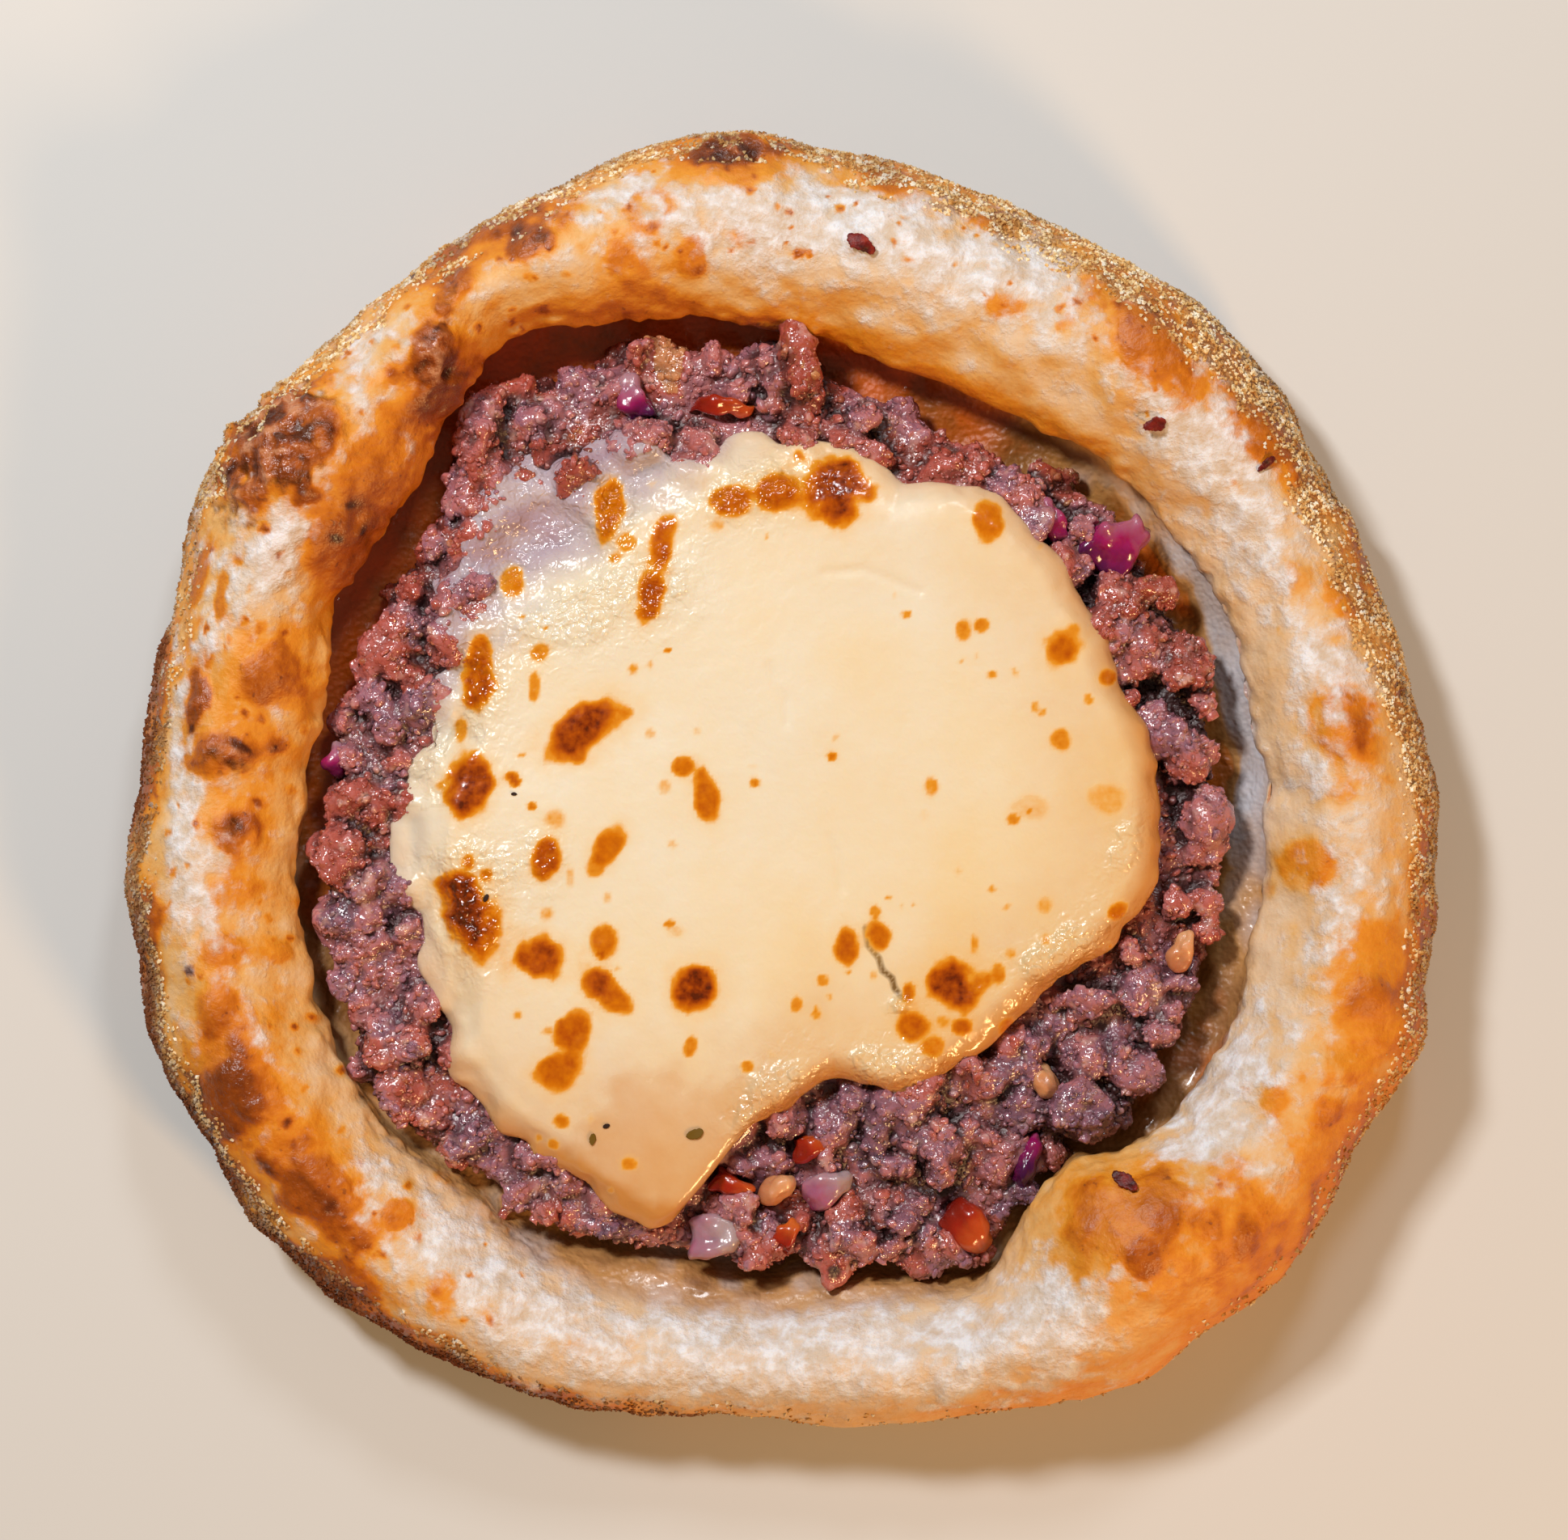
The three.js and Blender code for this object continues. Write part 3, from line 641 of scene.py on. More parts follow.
# Gold on the inner slope is partly painted shade. It is strongest where the rim shades its own slope, and it
# goes into the toast mark.
slope_gold_and_shade = around(SLOPE_GOLD_AND_SHADE, degrees) * inner * (0.9 + 0.3 * rough(points, 5 * MM, 3, 15))
underside = 0.5 * ease(-0.6, -0.95, up) * (0.9 + 0.5 * rough(points, 7 * MM, 3, 16))
toast = either(brown * rim_side, golden * rim_side, 0.6 * charred * rim_side)
mark(bread, "toast", either(toast, *np.clip([wall_gold, slope_gold_and_shade, underside], 0, 1)))
mark(bread, "char", charred * rim_side)
mark(bread, "scorch", scorch * rim_side)
mark(bread, "ridge", 0.42 + 0.8 * wrinkled(points))
floury, _ = spotted(points, FLOURY_ZONES, 0.5, 0.5, 7)
dusted = 0.42 * ease(0.60, 0.92, up) * ease(9, 12, height)
floury = either(floury * rim_side, dusted * (1 + 0.5 * rough(points, 5 * MM, 3, 17)))
mark(bread, "flour", floury * (1 - 0.75 * ease(0.12, 0.5, brown)) * (1 - 0.85 * ease(0.12, 0.36, golden)))
damp = 0.9 * ease(11.5, 8.5, height) * ease(52 * MM, 49 * MM, radius) * around(FOOT_WET, degrees)
on_floor = ease(7.5, 5.2, height) * ease(51 * MM, 49 * MM, radius)
mark(bread, "wet", np.maximum(on_floor, damp) * ease(3, 4, height))
# Painted shade, together with the real juice: the floor is browner where the rim shades it, and the low
# floor beside a risen foot is painted darker still.
deep = 0.72 * ease(6.2, 5.3, height) * ease(1, 3, around(FOOT_RISE, degrees))
soaked_and_shaded = np.maximum(around(FLOOR_BROWN_AND_SHADE, degrees), deep)
mark(bread, "soaked_and_shaded", soaked_and_shaded + 0.2 * rough(points, 3 * MM, 3, 18))
reach_up = around(GRIT_REACH, degrees)
shoulder = ease(0, -0.25, up - reach_up) * ease(1.0, 2.0, height)
from_rim = around(outermost(points), degrees) - radius
shoulder *= ease(1.0, 0.7, from_rim / (around(GRIT_WIDTH, degrees) * MM))
gritty = around(WALL_GRIT, degrees) * shoulder * (0.35 + 0.65 * ease(-0.6, 0.2, rough(points, 4 * MM, 3, 8)))
mark(bread, "grit", gritty)
mark(bread, "sandy", around(GRIT_BROWN, degrees) + 0.25 * rough(points, 4 * MM, 3, 21))
print("share of the bread that is marked gritty:", np.mean(gritty).round(3))

# %% [markdown]
# ### Finish of the bread
#
# Baked dough goes from cream through gold to a dark brown, and never evenly: the mark that was worked out
# for each point only says how baked it is, and the shader breaks its edge up and picks the colour. On the
# inner slope that mark also holds painted shade. Flour is a second, paler coat. The floor of the bread is
# wet with the meat's juice, brown and oily where it fried and grey where it only steamed. It also has a
# darker brown painted as shade where it lies low and where the rim shades it, and it is far more glossy than
# the dry crust.

# %% Colours of the bread
dough, tree, shader, place = new_finish("baked_dough")
blotches = minus(tree, noise(tree, place, 330, 6, Roughness=0.62), 0.48)
toast = plus(tree, marked(tree, "toast"), times(tree, blotches, 0.26))
toast = grouped(tree, broken_edge, Place=place, Mask=toast, Scale=1500, Amount=0.9)
baked = graded(
    tree, toast, (0, 222, 190, 154), (0.14, 222, 168, 98), (0.30, 220, 140, 30), (0.46, 206, 116, 4),
    (0.64, 166, 80, 2), (0.82, 118, 52, 8), (1, 66, 28, 18),
)
# Scorched skin is wrinkled, and its ridges are paler than its furrows.
ridges = noise(tree, place, 620, 4, Roughness=0.6)
creased = plus(tree, marked(tree, "ridge"), times(tree, minus(tree, ridges, 0.5), 1.6))
scorched = graded(
    tree, creased, (0.20, 56, 20, 8), (0.42, 110, 45, 15), (0.62, 162, 82, 34), (0.84, 200, 136, 96)
)
scorch = grouped(tree, patchy_cover, Place=place, Amount=marked(tree, "scorch"), Scale=420)
baked = blend(tree, times(tree, scorch, 0.85), baked, scorched)
flour = grouped(tree, patchy_cover, Place=place, Amount=marked(tree, "flour"), Scale=520)
floury = graded(tree, ridges, (0.36, 202, 182, 162), (0.50, 214, 206, 202), (0.62, 230, 232, 238))
baked = blend(tree, times(tree, flour, 0.82), baked, floury)
# Between the grains of semolina lies finer meal, browner where the semolina is.
sand = noise(tree, place, 3200, 2)
meal = graded(tree, sand, (0.36, 134, 78, 32), (0.50, 182, 122, 64), (0.62, 222, 180, 126))
darker = graded(tree, sand, (0.36, 64, 30, 12), (0.50, 98, 53, 25), (0.62, 146, 95, 60))
meal = blend(tree, marked(tree, "sandy"), meal, darker)
mealy = grouped(tree, patchy_cover, Place=place, Amount=marked(tree, "grit"), Scale=700)
baked = blend(tree, times(tree, mealy, 0.75), baked, meal)
char = grouped(tree, broken_edge, Place=place, Mask=marked(tree, "char"), Scale=2500, Amount=3)
baked = blend(tree, char, baked, shade(64, 24, 8))
# Tiny scorched dots, where the baking is well on.
dots = mask_between(tree, noise(tree, place, 1100, 2), 0.66, 0.71)
baked = blend(tree, times(tree, dots, level(tree, toast, 0, 0.7, 0.32, 0.6)), baked, shade(112, 50, 18))
wet = marked(tree, "wet")
soaked_and_shaded = marked(tree, "soaked_and_shaded")
# Colours of the wet floor: pale where it only steamed, orange brown where it fried, and a dark olive brown
# that is painted shade.
juice_and_shade = graded(tree, soaked_and_shaded, (0, 200, 198, 206), (0.40, 190, 134, 74), (0.70, 142, 88, 34), (1, 214, 98, 2))
wetted = blend(tree, wet, baked, juice_and_shade)

# %% Gloss and relief of the bread
glossy = largest(tree, toast, scorch)
pored = grouped(tree, fine_relief, Place=place, Scale=600, Grain=0.2)
height_of = plus(
    tree,
    times(tree, pored, level(tree, largest(tree, glossy, wet), 1, 0.3)),
    times(tree, ridges, level(tree, glossy, 0.6, 2.6)),
    times(tree, noise(tree, place, 1500, 0.5), level(tree, scorch, 0, 1.4)),
    times(tree, ridges, level(tree, flour, 0, 1.6)),
    times(tree, sand, level(tree, mealy, 0.15, 1.6)),
)
relief = bumped(tree, times(tree, height_of, level(tree, wet, 1, 0.2)), 0.55, 0.35)
relief = bumped(tree, times(tree, noise(tree, place, 1900, 0.5), wet), 1, 0.2, Normal=relief)
dry_roughness = level(tree, glossy, 0.55, 0.27, 0.45, 0.85)
wet_roughness = level(tree, soaked_and_shaded, 0.14, 0.5)
wire(
    tree, shader, Base_Color=wetted, Normal=relief, Roughness=level(tree, wet, dry_roughness, wet_roughness),
    Specular_IOR_Level=0.45, Coat_Weight=level(tree, wet, 0, 0.6), Coat_Roughness=0.1,
    Subsurface_Weight=0.12, Subsurface_Scale=2 * MM, Subsurface_Radius=(1, 0.6, 0.35),
)
bread.data.materials.append(dough)
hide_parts("crust")
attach(bread, "root")
print("nodes of the bread's finish:", len(tree.nodes))

# %% [markdown]
# ## Chilli flakes
#
# Three larger flakes of dried chilli lie on the rim, and one small one. The solid of the bread has a bump
# under each of the three. A flake is a thin, bent scrap of skin: a grid is cut to a ragged outline, bent
# over the bump and given a thickness.

# %% Flakes of chilli
CHILLI_FLAKES = [
    # x, y, length in mm, how many times as long as wide, turn in degrees
    (7.0, 48.3, 3.0, 1.6, -35),
    (33.6, 32.1, 2.6, 1.5, 20),
    (31.0, -36.0, 2.7, 1.6, -35),
    (43.7, 28.6, 2.3, 2.6, 42),
]


def ragged_flake(name, place, length, slimness, turn, below, seed):
    """A thin scrap with a torn outline, bent to the points that lie below it."""
    spot = np.array(place) * MM + MIDDLE
    bpy.ops.object.select_all(action="DESELECT")
    bpy.ops.mesh.primitive_grid_add(x_subdivisions=20, y_subdivisions=20, size=length * MM)
    flake = bpy.context.object
    flake.name = name
    grid = points_of(flake)
    torn = 0.26 * rough(grid + seed * MM, 1.3 * MM, 2, 50 + seed)
    away = np.hypot(grid[:, 0], slimness * grid[:, 1]) / (0.5 * length * MM)
    away = away + torn * ease(0.2, 0.7, away)
    bpy.ops.object.mode_set(mode="EDIT")
    bpy.ops.mesh.select_all(action="DESELECT")
    bpy.ops.object.mode_set(mode="OBJECT")
    for vertex, beyond in zip(flake.data.vertices, away > 0.95):
        vertex.select = bool(beyond)
    bpy.ops.object.mode_set(mode="EDIT")
    bpy.ops.mesh.delete(type="VERT")
    bpy.ops.object.mode_set(mode="OBJECT")
    grid = points_of(flake)
    c, s = math.cos(math.radians(turn)), math.sin(math.radians(turn))
    flat = np.stack([grid[:, 0] * c - grid[:, 1] * s, grid[:, 0] * s + grid[:, 1] * c], axis=1) + spot
    nearby = below[(np.hypot(*(below[:, :2] - spot).T) < length * MM) & (below[:, 2] > 9 * MM)]
    apart = [np.hypot(*(nearby[:, :2] - point).T) for point in flat]
    rise = np.array([nearby[away_by < max(0.5 * MM, 1.01 * away_by.min()), 2].max() for away_by in apart])
    rise += 0.06 * length * (1 + mottle(np.column_stack([flat, 0 * rise]), 1.1 * MM, 60 + seed)) * MM
    move_points(flake, np.column_stack([flat, rise]))
    with_modifier(flake, "SMOOTH", factor=0.5, iterations=2)
    with_modifier(flake, "SOLIDIFY", thickness=0.11 * length * MM, offset=0)
    with_modifier(flake, "SUBSURF", levels=1, render_levels=1)
    smooth(flake)
    print(flake.name, "points:", len(flake.data.vertices))
    return flake


bread_points = points_of(bread)
chilli, tree, shader, place = new_finish("dried_chilli")
skin = graded(tree, noise(tree, place, 800, 3), (0.35, 50, 8, 6), (0.55, 112, 20, 12), (0.70, 150, 48, 28))
relief = bumped(tree, grouped(tree, fine_relief, Place=place, Scale=2000, Grain=0.2), 0.5, 0.2)
wire(tree, shader, Base_Color=skin, Normal=relief, Roughness=0.45, Specular_IOR_Level=0.3)
for i, (x, y, length, slimness, turn) in enumerate(CHILLI_FLAKES):
    flake = ragged_flake(f"chilli_flake_{i + 1}", (x, y), length, slimness, turn, bread_points, i)
    flake.data.materials.append(chilli)
    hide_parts("crust")
    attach(flake, "root")

# %% [markdown]
# ## Semolina on the wall
#
# The dough was shaped on coarse semolina, which stays stuck to the outer wall as angular grains under half
# a millimetre. An array could repeat a grain, but not over a wall that curves both ways. So the places are
# drawn over the wall's faces, more of them where the wall is marked as gritty, and thousands of copies of
# one eight-sided grain are written into one mesh there, each turned and stretched its own way.

# %% Scattering over a surface
def scattered(piece, mask, per_square_mm, seed):
    """Random points on a piece's faces, thicker where the mask is high, with the normals there."""
    random = np.random.default_rng(seed)
    piece.data.calc_loop_triangles()
    corners = np.empty(len(piece.data.loop_triangles) * 3, dtype=np.int32)
    piece.data.loop_triangles.foreach_get("vertices", corners)
    corners = corners.reshape(-1, 3)
    points, normals = points_of(piece), normals_of(piece)
    a, b, c = points[corners[:, 0]], points[corners[:, 1]], points[corners[:, 2]]
    area = 0.5 * np.linalg.norm(np.cross(b - a, c - a), axis=1) / MM**2
    expected = area * mask[corners].mean(axis=1) * per_square_mm
    chosen = np.repeat(np.arange(len(corners)), random.poisson(expected))
    u, v = random.random((2, len(chosen)))
    u, v = np.where(u + v > 1, 1 - u, u), np.where(u + v > 1, 1 - v, v)
    spots = a[chosen] + u[:, None] * (b - a)[chosen] + v[:, None] * (c - a)[chosen]
    return spots, normals[corners[chosen, 0]]


def joined_copies(name, shape, spots, sizes, seed):
    """One mesh of turned, scaled copies of a small shape, given as its points and triangles."""
    random = np.random.default_rng(seed)
    shape_points, shape_faces = shape
    turns = random.normal(size=(len(spots), 4))
    turns /= np.linalg.norm(turns, axis=1)[:, None]
    w, x, y, z = turns.T
    matrix = np.stack([
        1 - 2 * (y * y + z * z), 2 * (x * y - z * w), 2 * (x * z + y * w),
        2 * (x * y + z * w), 1 - 2 * (x * x + z * z), 2 * (y * z - x * w),
        2 * (x * z - y * w), 2 * (y * z + x * w), 1 - 2 * (x * x + y * y),
    ], axis=1).reshape(-1, 3, 3)
    grown = shape_points[None] * sizes[:, None, :]
    placed = np.einsum("nij,nkj->nki", matrix, grown) + spots[:, None, :]
    faces = shape_faces[None] + len(shape_points) * np.arange(len(spots))[:, None, None]
    mesh = bpy.data.meshes.new(name)
    mesh.from_pydata(placed.reshape(-1, 3), [], faces.reshape(-1, 3))
    piece = bpy.data.objects.new(name, mesh)
    bpy.context.collection.objects.link(piece)
    return piece

# %% Copies of a small shape
def small_shape(subdivisions, crushed, seed):
    """The points and faces of a crushed ball."""
    bpy.ops.mesh.primitive_ico_sphere_add(subdivisions=subdivisions, radius=1)
    ball = bpy.context.object
    points = points_of(ball)
    points *= (1 + crushed * rough(points, 0.9, 2, seed))[:, None]
    faces = np.array([face.vertices for face in ball.data.polygons])
    bpy.data.objects.remove(ball)
    return points, faces

# %% Semolina grains
OCTAHEDRON = (
    np.array([[1, 0, 0], [-1, 0, 0], [0, 1, 0], [0, -1, 0], [0, 0, 1], [0, 0, -1]], dtype=float),
    np.array([[0, 2, 4], [2, 1, 4], [1, 3, 4], [3, 0, 4], [2, 0, 5], [1, 2, 5], [3, 1, 5], [0, 3, 5]]),
)
MOST_GRAINS = 24500
GRAINS_PER_SQUARE_MM = 10
grains, _ = scattered(bread, gritty, GRAINS_PER_SQUARE_MM, 11)
random = np.random.default_rng(12)
print("semolina grains drawn:", len(grains))
grains = grains[random.permutation(len(grains))[:MOST_GRAINS]]
sizes = random.uniform(0.14, 0.30, (len(grains), 1)) * random.uniform(0.7, 1.3, (len(grains), 3)) * MM
semolina = joined_copies("semolina_grains", OCTAHEDRON, grains, sizes, 13)
points = points_of(semolina)
height = points[:, 2] / MM
browned, _ = spotted(points, RIM_SPOTS, 0.4, 0.35, 3)
darkened = around(GRIT_BROWN, polar(points)[0]) + 0.3 * rough(points, 4 * MM, 3, 21)
mark(semolina, "toast", 0.6 * browned + 0.40 * ease(12, 4, height) + darkened * ease(15, 11, height))

# %% Finish of the semolina
grain_look, tree, shader, place = new_finish("semolina")
pale = graded(
    tree, noise(tree, place, 900, 2), (0.32, 190, 130, 62), (0.44, 220, 174, 106), (0.54, 240, 214, 164),
    (0.66, 250, 242, 222),
)
toasted = blend(tree, marked(tree, "toast"), pale, shade(114, 60, 26))
wire(tree, shader, Base_Color=toasted, Roughness=0.8, Specular_IOR_Level=0.25)
semolina.data.materials.append(grain_look)
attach(semolina, "root")
print("semolina grains kept:", len(grains))

# %% [markdown]
# ## The meat
#
# Cooked mince is a heap of granules of one to two millimetres that cling together in clumps, with deep
# crevices between them. Modelling each by hand is hopeless, and a displaced surface has no overhangs. So
# crushed balls are scattered over the solid of the heap, wherever it shows, with rows of them for the few
# shreds that stick out, and a voxel remesh melts them and the heap into one skin. Over that skin lie loose
# granules of two sizes, the coarse ones a piece for each of their three shapes. Every point then takes the
# tint of the lump it came from. It is also marked by how far down it lies among the crevices, which the
# finish paints dark as shade.

# %% Where the meat shows
CHEESE_EDGE = [34.7, 32.7, 32.5, 32.7, 31.9, 31.2, 31.8, 30.4, 36.0, 37.8, 36.0, 34.0,
               34.2, 37.0, 38.0, 41.0, 41.3, 43.0, 30.3, 28.8, 31.1, 30.9, 33.3, 35.2]
# Every 30 degrees: over how many mm the cheese's edge is ragged, with granules of meat sticking out of it.
RAGGED_EDGE = [0.8, 0.8, 1.2, 2.0, 3.4, 4.2, 3.0, 2.4, 1.4, 0.9, 0.8, 0.8]
FILM_DIRECTION = 133  # towards the thin part of the cheese
FILM_START = 27.5 * MM
OUT_OF_FILM = [
    # x, y and reach in mm of the few places where meat sticks out of the film
    (-19.7, 28.2, 2.6), (-27.6, 16.4, 2.4), (-31.4, 20.4, 2), (-30.8, 25.6, 2.2),
]


def across_film(points):
    """How far a point lies past the line where the cheese becomes a thin film."""
    flat = points[:, :2] - MIDDLE
    towards = math.radians(FILM_DIRECTION)
    return flat @ np.array([math.cos(towards), math.sin(towards)]) - FILM_START


def meat_shows(points):
    degrees, radius = polar(points)
    past_cheese = radius - around(CHEESE_EDGE, degrees) * MM
    uncovered = np.maximum(ease(-3 * MM, -1.5 * MM, past_cheese), ease(-2 * MM, 0, across_film(points)))
    return uncovered * ease(5.2, 5.8, points[:, 2] / MM)


def out_of_film(points):
    """1 at the places where meat sticks out of the film."""
    return np.max([
        ease(1.3 * reach * MM, 0.6 * reach * MM, apart_from(points, x, y)) for x, y, reach in OUT_OF_FILM
    ], axis=0)


def under_cheese(points):
    """Where no lumps are needed, because the cheese hides the meat."""
    degrees, radius = polar(points)
    overlap = around(RAGGED_EDGE, degrees) * MM
    return (radius < around(CHEESE_EDGE, degrees) * MM - overlap) & (out_of_film(points) < 0.1)


heap_edge = outermost(points_of(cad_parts["meat"]))
dice = [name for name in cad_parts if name.split("_")[0] in ("onion", "tomato", "kernel")]
dice_boxes = np.array([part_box(name) for name in dice])
print("diced pieces:", len(dice))

# %% Tints and shreds
TINT_ZONES = [
    # x, y, reach in mm, tint
    (-24.4, 38.8, 3.6, 0.72), (1.6, 40.4, 2.6, 0.76), (3.4, 36, 3, 0.66), (16.3, 29.2, 2.6, 0.64),
    (27.6, 27.6, 4, 0.74), (-19.7, 28.2, 3.4, 0.72), (-39.6, -4.6, 4.2, 0.6), (-36, 12, 3, 0.56),
    (-33.8, 19, 3.4, 0.66), (37.6, 12, 4, 0.64), (33.6, -25.6, 4, 0.3), (27, -30.6, 4, 0.14),
    (21.4, -28.6, 3.4, 0.16), (13, -36, 3.6, 0.26), (-10.4, 38.6, 2.4, 0.94), (-36.6, -15.4, 4, 0.34),
    (-30.4, -27.6, 4, 0.56), (-22.4, -35.4, 3.6, 0.3),
]
# Every 30 degrees: how much browner, or below 0 more purple, the meat is than elsewhere.
TINT_SHIFT = [0.0, 0.06, 0.10, 0.10, 0.04, 0.02, -0.02, -0.05, 0.02, 0.0, -0.06, -0.03]
SHREDS = [
    # x and y of both ends, height, half the width in mm, tint
    (5.4, -38.8, 4.7, -45.4, 10.6, 1.4, 0.58),
    (1.9, 36.6, 1.0, 42.4, 12.6, 1.5, 0.72),
    (-24.4, -38.8, -27.0, -40.9, 7.5, 0.55, 0.60),
]
# Every 30 degrees: by how many mm the foot of the bread's wall has pushed the lumps back.
HEAP_TRIM = [1.3, 1.2, 0.2, 0, 0, 0, 0, 0, 0, 0, 0, 0.3]
# The hollow end of the thickest shred is painted dark as shade, along with the crevices.
HOLE = (4.75, -44.9, 0.8)  # where the thickest shred is hollow: x, y and reach in mm
print("tinted zones and shreds:", len(TINT_ZONES), len(SHREDS))

# %% Lumps of mince
def clear_of_dice(spots, reach):
    middles = dice_boxes.mean(axis=1)[:, :2]
    halves = 0.5 * (dice_boxes[:, 1] - dice_boxes[:, 0])[:, :2].max(axis=1)
    apart = np.linalg.norm(spots[:, None, :2] - middles[None], axis=2)
    return (apart - 0.5 * halves[None] - 0.4 * reach[:, None]).min(axis=1) > 0


def lumps(piece, per_square_mm, smallest, largest, raised, seed):
    """Places and half sizes of lumps over a piece, inside the solid's own edge and clear of the dice."""
    random = np.random.default_rng(seed)
    spots, normals = scattered(piece, meat_shows(points_of(piece)), per_square_mm, seed)
    reach = (smallest + (largest - smallest) * random.random(len(spots)) ** 1.6) * MM
    spots = spots + normals * reach[:, None] * random.uniform(*raised, (len(spots), 1))
    towards, far = polar(spots)
    inside = around(heap_edge, towards) + (0.2 - around(HEAP_TRIM, towards)) * MM
    keep = (far + 1.1 * reach < inside) & clear_of_dice(spots, reach)
    keep &= (spots[:, 2] - reach > 4.7 * MM) & ~under_cheese(spots)
    return spots[keep], reach[keep]


def heaped(name, shapes, spots, reach, seed):
    """Lumps, each turned and stretched its own way: one mesh for each shape."""
    sizes = reach[:, None] * np.random.default_rng(seed).uniform(0.6, 1.45, (len(spots), 3))
    kinds = len(shapes)
    return [
        joined_copies(f"{name}_{k + 1}", shape, spots[k::kinds], sizes[k::kinds], seed + k)
        for k, shape in enumerate(shapes)
    ]


def joined(pieces):
    only(pieces[0])
    for piece in pieces[1:]:
        piece.select_set(True)
    bpy.ops.object.join()
    return pieces[0]

# %% The skin of the mince
IN_SHRED = 9  # lumps in a row
CLUMPS_PER_SQUARE_MM = 0.1
CORE_CELL = 0.8 * MM  # coarse, because the clumps cover the core
MINCE_CELL = 0.4 * MM
MINCE_TRIANGLES = 150000
clump_spots, clump_reach = lumps(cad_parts["meat"], CLUMPS_PER_SQUARE_MM, 1.0, 2.5, (-0.85, -0.2), 21)
clump_tint = 0.08 + 0.62 * np.random.default_rng(25).beta(2.0, 2.2, len(clump_spots))
clump_tint += around(TINT_SHIFT, polar(clump_spots)[0])
for x, y, reach, tint in TINT_ZONES:
    clump_tint[apart_from(clump_spots, x, y) < reach * MM] = tint
for x, y, x_end, y_end, height, half, tint in SHREDS:
    share = np.linspace(0, 1, IN_SHRED)[:, None]
    line = (1 - share) * [x, y, height] + share * [x_end, y_end, height - half]
    clump_spots = np.vstack([clump_spots, line * MM + [*MIDDLE, 0]])
    clump_reach = np.append(clump_reach, np.full(IN_SHRED, half * MM))
    clump_tint = np.append(clump_tint, np.full(IN_SHRED, tint))
clumps = heaped("meat_clumps", [small_shape(3, 0.4, n) for n in range(4)], clump_spots, clump_reach, 26)
core = refined_copy("meat", "meat_core", 0)
even_cells(core, CORE_CELL)
swell(core, -(0.8 + around(HEAP_TRIM, polar(points_of(core))[0])) * MM * meat_shows(points_of(core)))
mince = joined([*clumps, core])
mince.name = "meat_mince"
even_cells(mince, MINCE_CELL)
grainy = 0.26 * mottle(points_of(mince), 1.7 * MM, 28) + 0.30 * mottle(points_of(mince), 0.85 * MM, 30)
swell(mince, grainy * MM * meat_shows(points_of(mince)))
thinned(mince, 1 - meat_shows(points_of(mince)), MINCE_TRIANGLES)
smooth(mince)
print("clumps:", len(clump_spots))

# %% Granules over the clumps
COARSE_PER_SQUARE_MM = 1.5
FINE_PER_SQUARE_MM = 1.8
coarse_spots, coarse_reach = lumps(mince, COARSE_PER_SQUARE_MM, 0.20, 0.46, (-0.8, -0.2), 22)
coarse = heaped("meat_granules", [small_shape(2, 0.6, n) for n in (5, 6, 7)], coarse_spots, coarse_reach, 27)
fine_spots, fine_reach = lumps(mince, FINE_PER_SQUARE_MM, 0.12, 0.24, (-0.6, 0.3), 31)
fine = joined(heaped("meat_fine", [small_shape(1, 0.4, n) for n in (8, 9, 10)], fine_spots, fine_reach, 32))
fine.name = "meat_fine_granules"
for piece in (*coarse, fine):
    smooth(piece)
print("granules:", len(coarse_spots), len(fine_spots))

# %% Marks for the meat's finish
CELL = 0.5 * MM
GRID = 220


def height_grid(points):
    """The highest point in each small square of the plan."""
    grid = np.full((GRID, GRID), 5 * MM)
    i, j = np.clip((points[:, :2] / CELL + GRID / 2).astype(int), 0, GRID - 1).T
    np.maximum.at(grid, (i, j), points[:, 2])
    return grid


def blurred(grid, times):
    for _ in range(times):
        padded = np.pad(grid, 1, mode="edge")
        grid = sum(padded[i:i + GRID, j:j + GRID] for i in range(3) for j in range(3)) / 9
    return grid


def looked_up(grid, points):
    """The grid's value at each point, evened out between the squares."""
    places = np.clip(points[:, :2] / CELL + GRID / 2 - 0.5, 0, GRID - 1.001)
    i, j = places.astype(int).T
    u, v = (places - np.stack([i, j], axis=1)).T
    return (grid[i, j] * (1 - u) * (1 - v) + grid[i + 1, j] * u * (1 - v)
            + grid[i, j + 1] * (1 - u) * v + grid[i + 1, j + 1] * u * v)


def nearest_of(spots, points):
    tree = KDTree(len(spots))
    for i, spot in enumerate(spots):
        tree.insert(spot, i)
    tree.balance()
    return np.array([tree.find(point)[1] for point in points])

# %% Marking each lump
def mark_meat(piece, spots, tints):
    """Each point takes the tint of the lump it belongs to, and knows how deep it lies among the rest."""
    points = points_of(piece)
    mark(piece, "tint", tints[nearest_of(spots, points)] + 0.05 * rough(points, 1.2 * MM, 2, 29))
    large_hollow = (looked_up(over_clumps, points) - points[:, 2]) / (2.6 * MM)
    small_hollow = (looked_up(over_granules, points) - points[:, 2]) / (2.0 * MM)
    hole = ease(HOLE[2] * MM, 0.6 * HOLE[2] * MM, apart_from(points, *HOLE[:2]))
    # How far a point lies down among the rest, and the shred's hollow end, are painted as shade by the
    # finish.
    mark(piece, "crevice_shade", np.clip(1.2 * large_hollow, 0, 0.8) + np.clip(1.6 * small_hollow, 0, 0.5) + hole)
    # How low a point lies, for the painted shade at the foot of the heap.
    mark(piece, "low", ease(9.0, 6.0, points[:, 2] / MM))


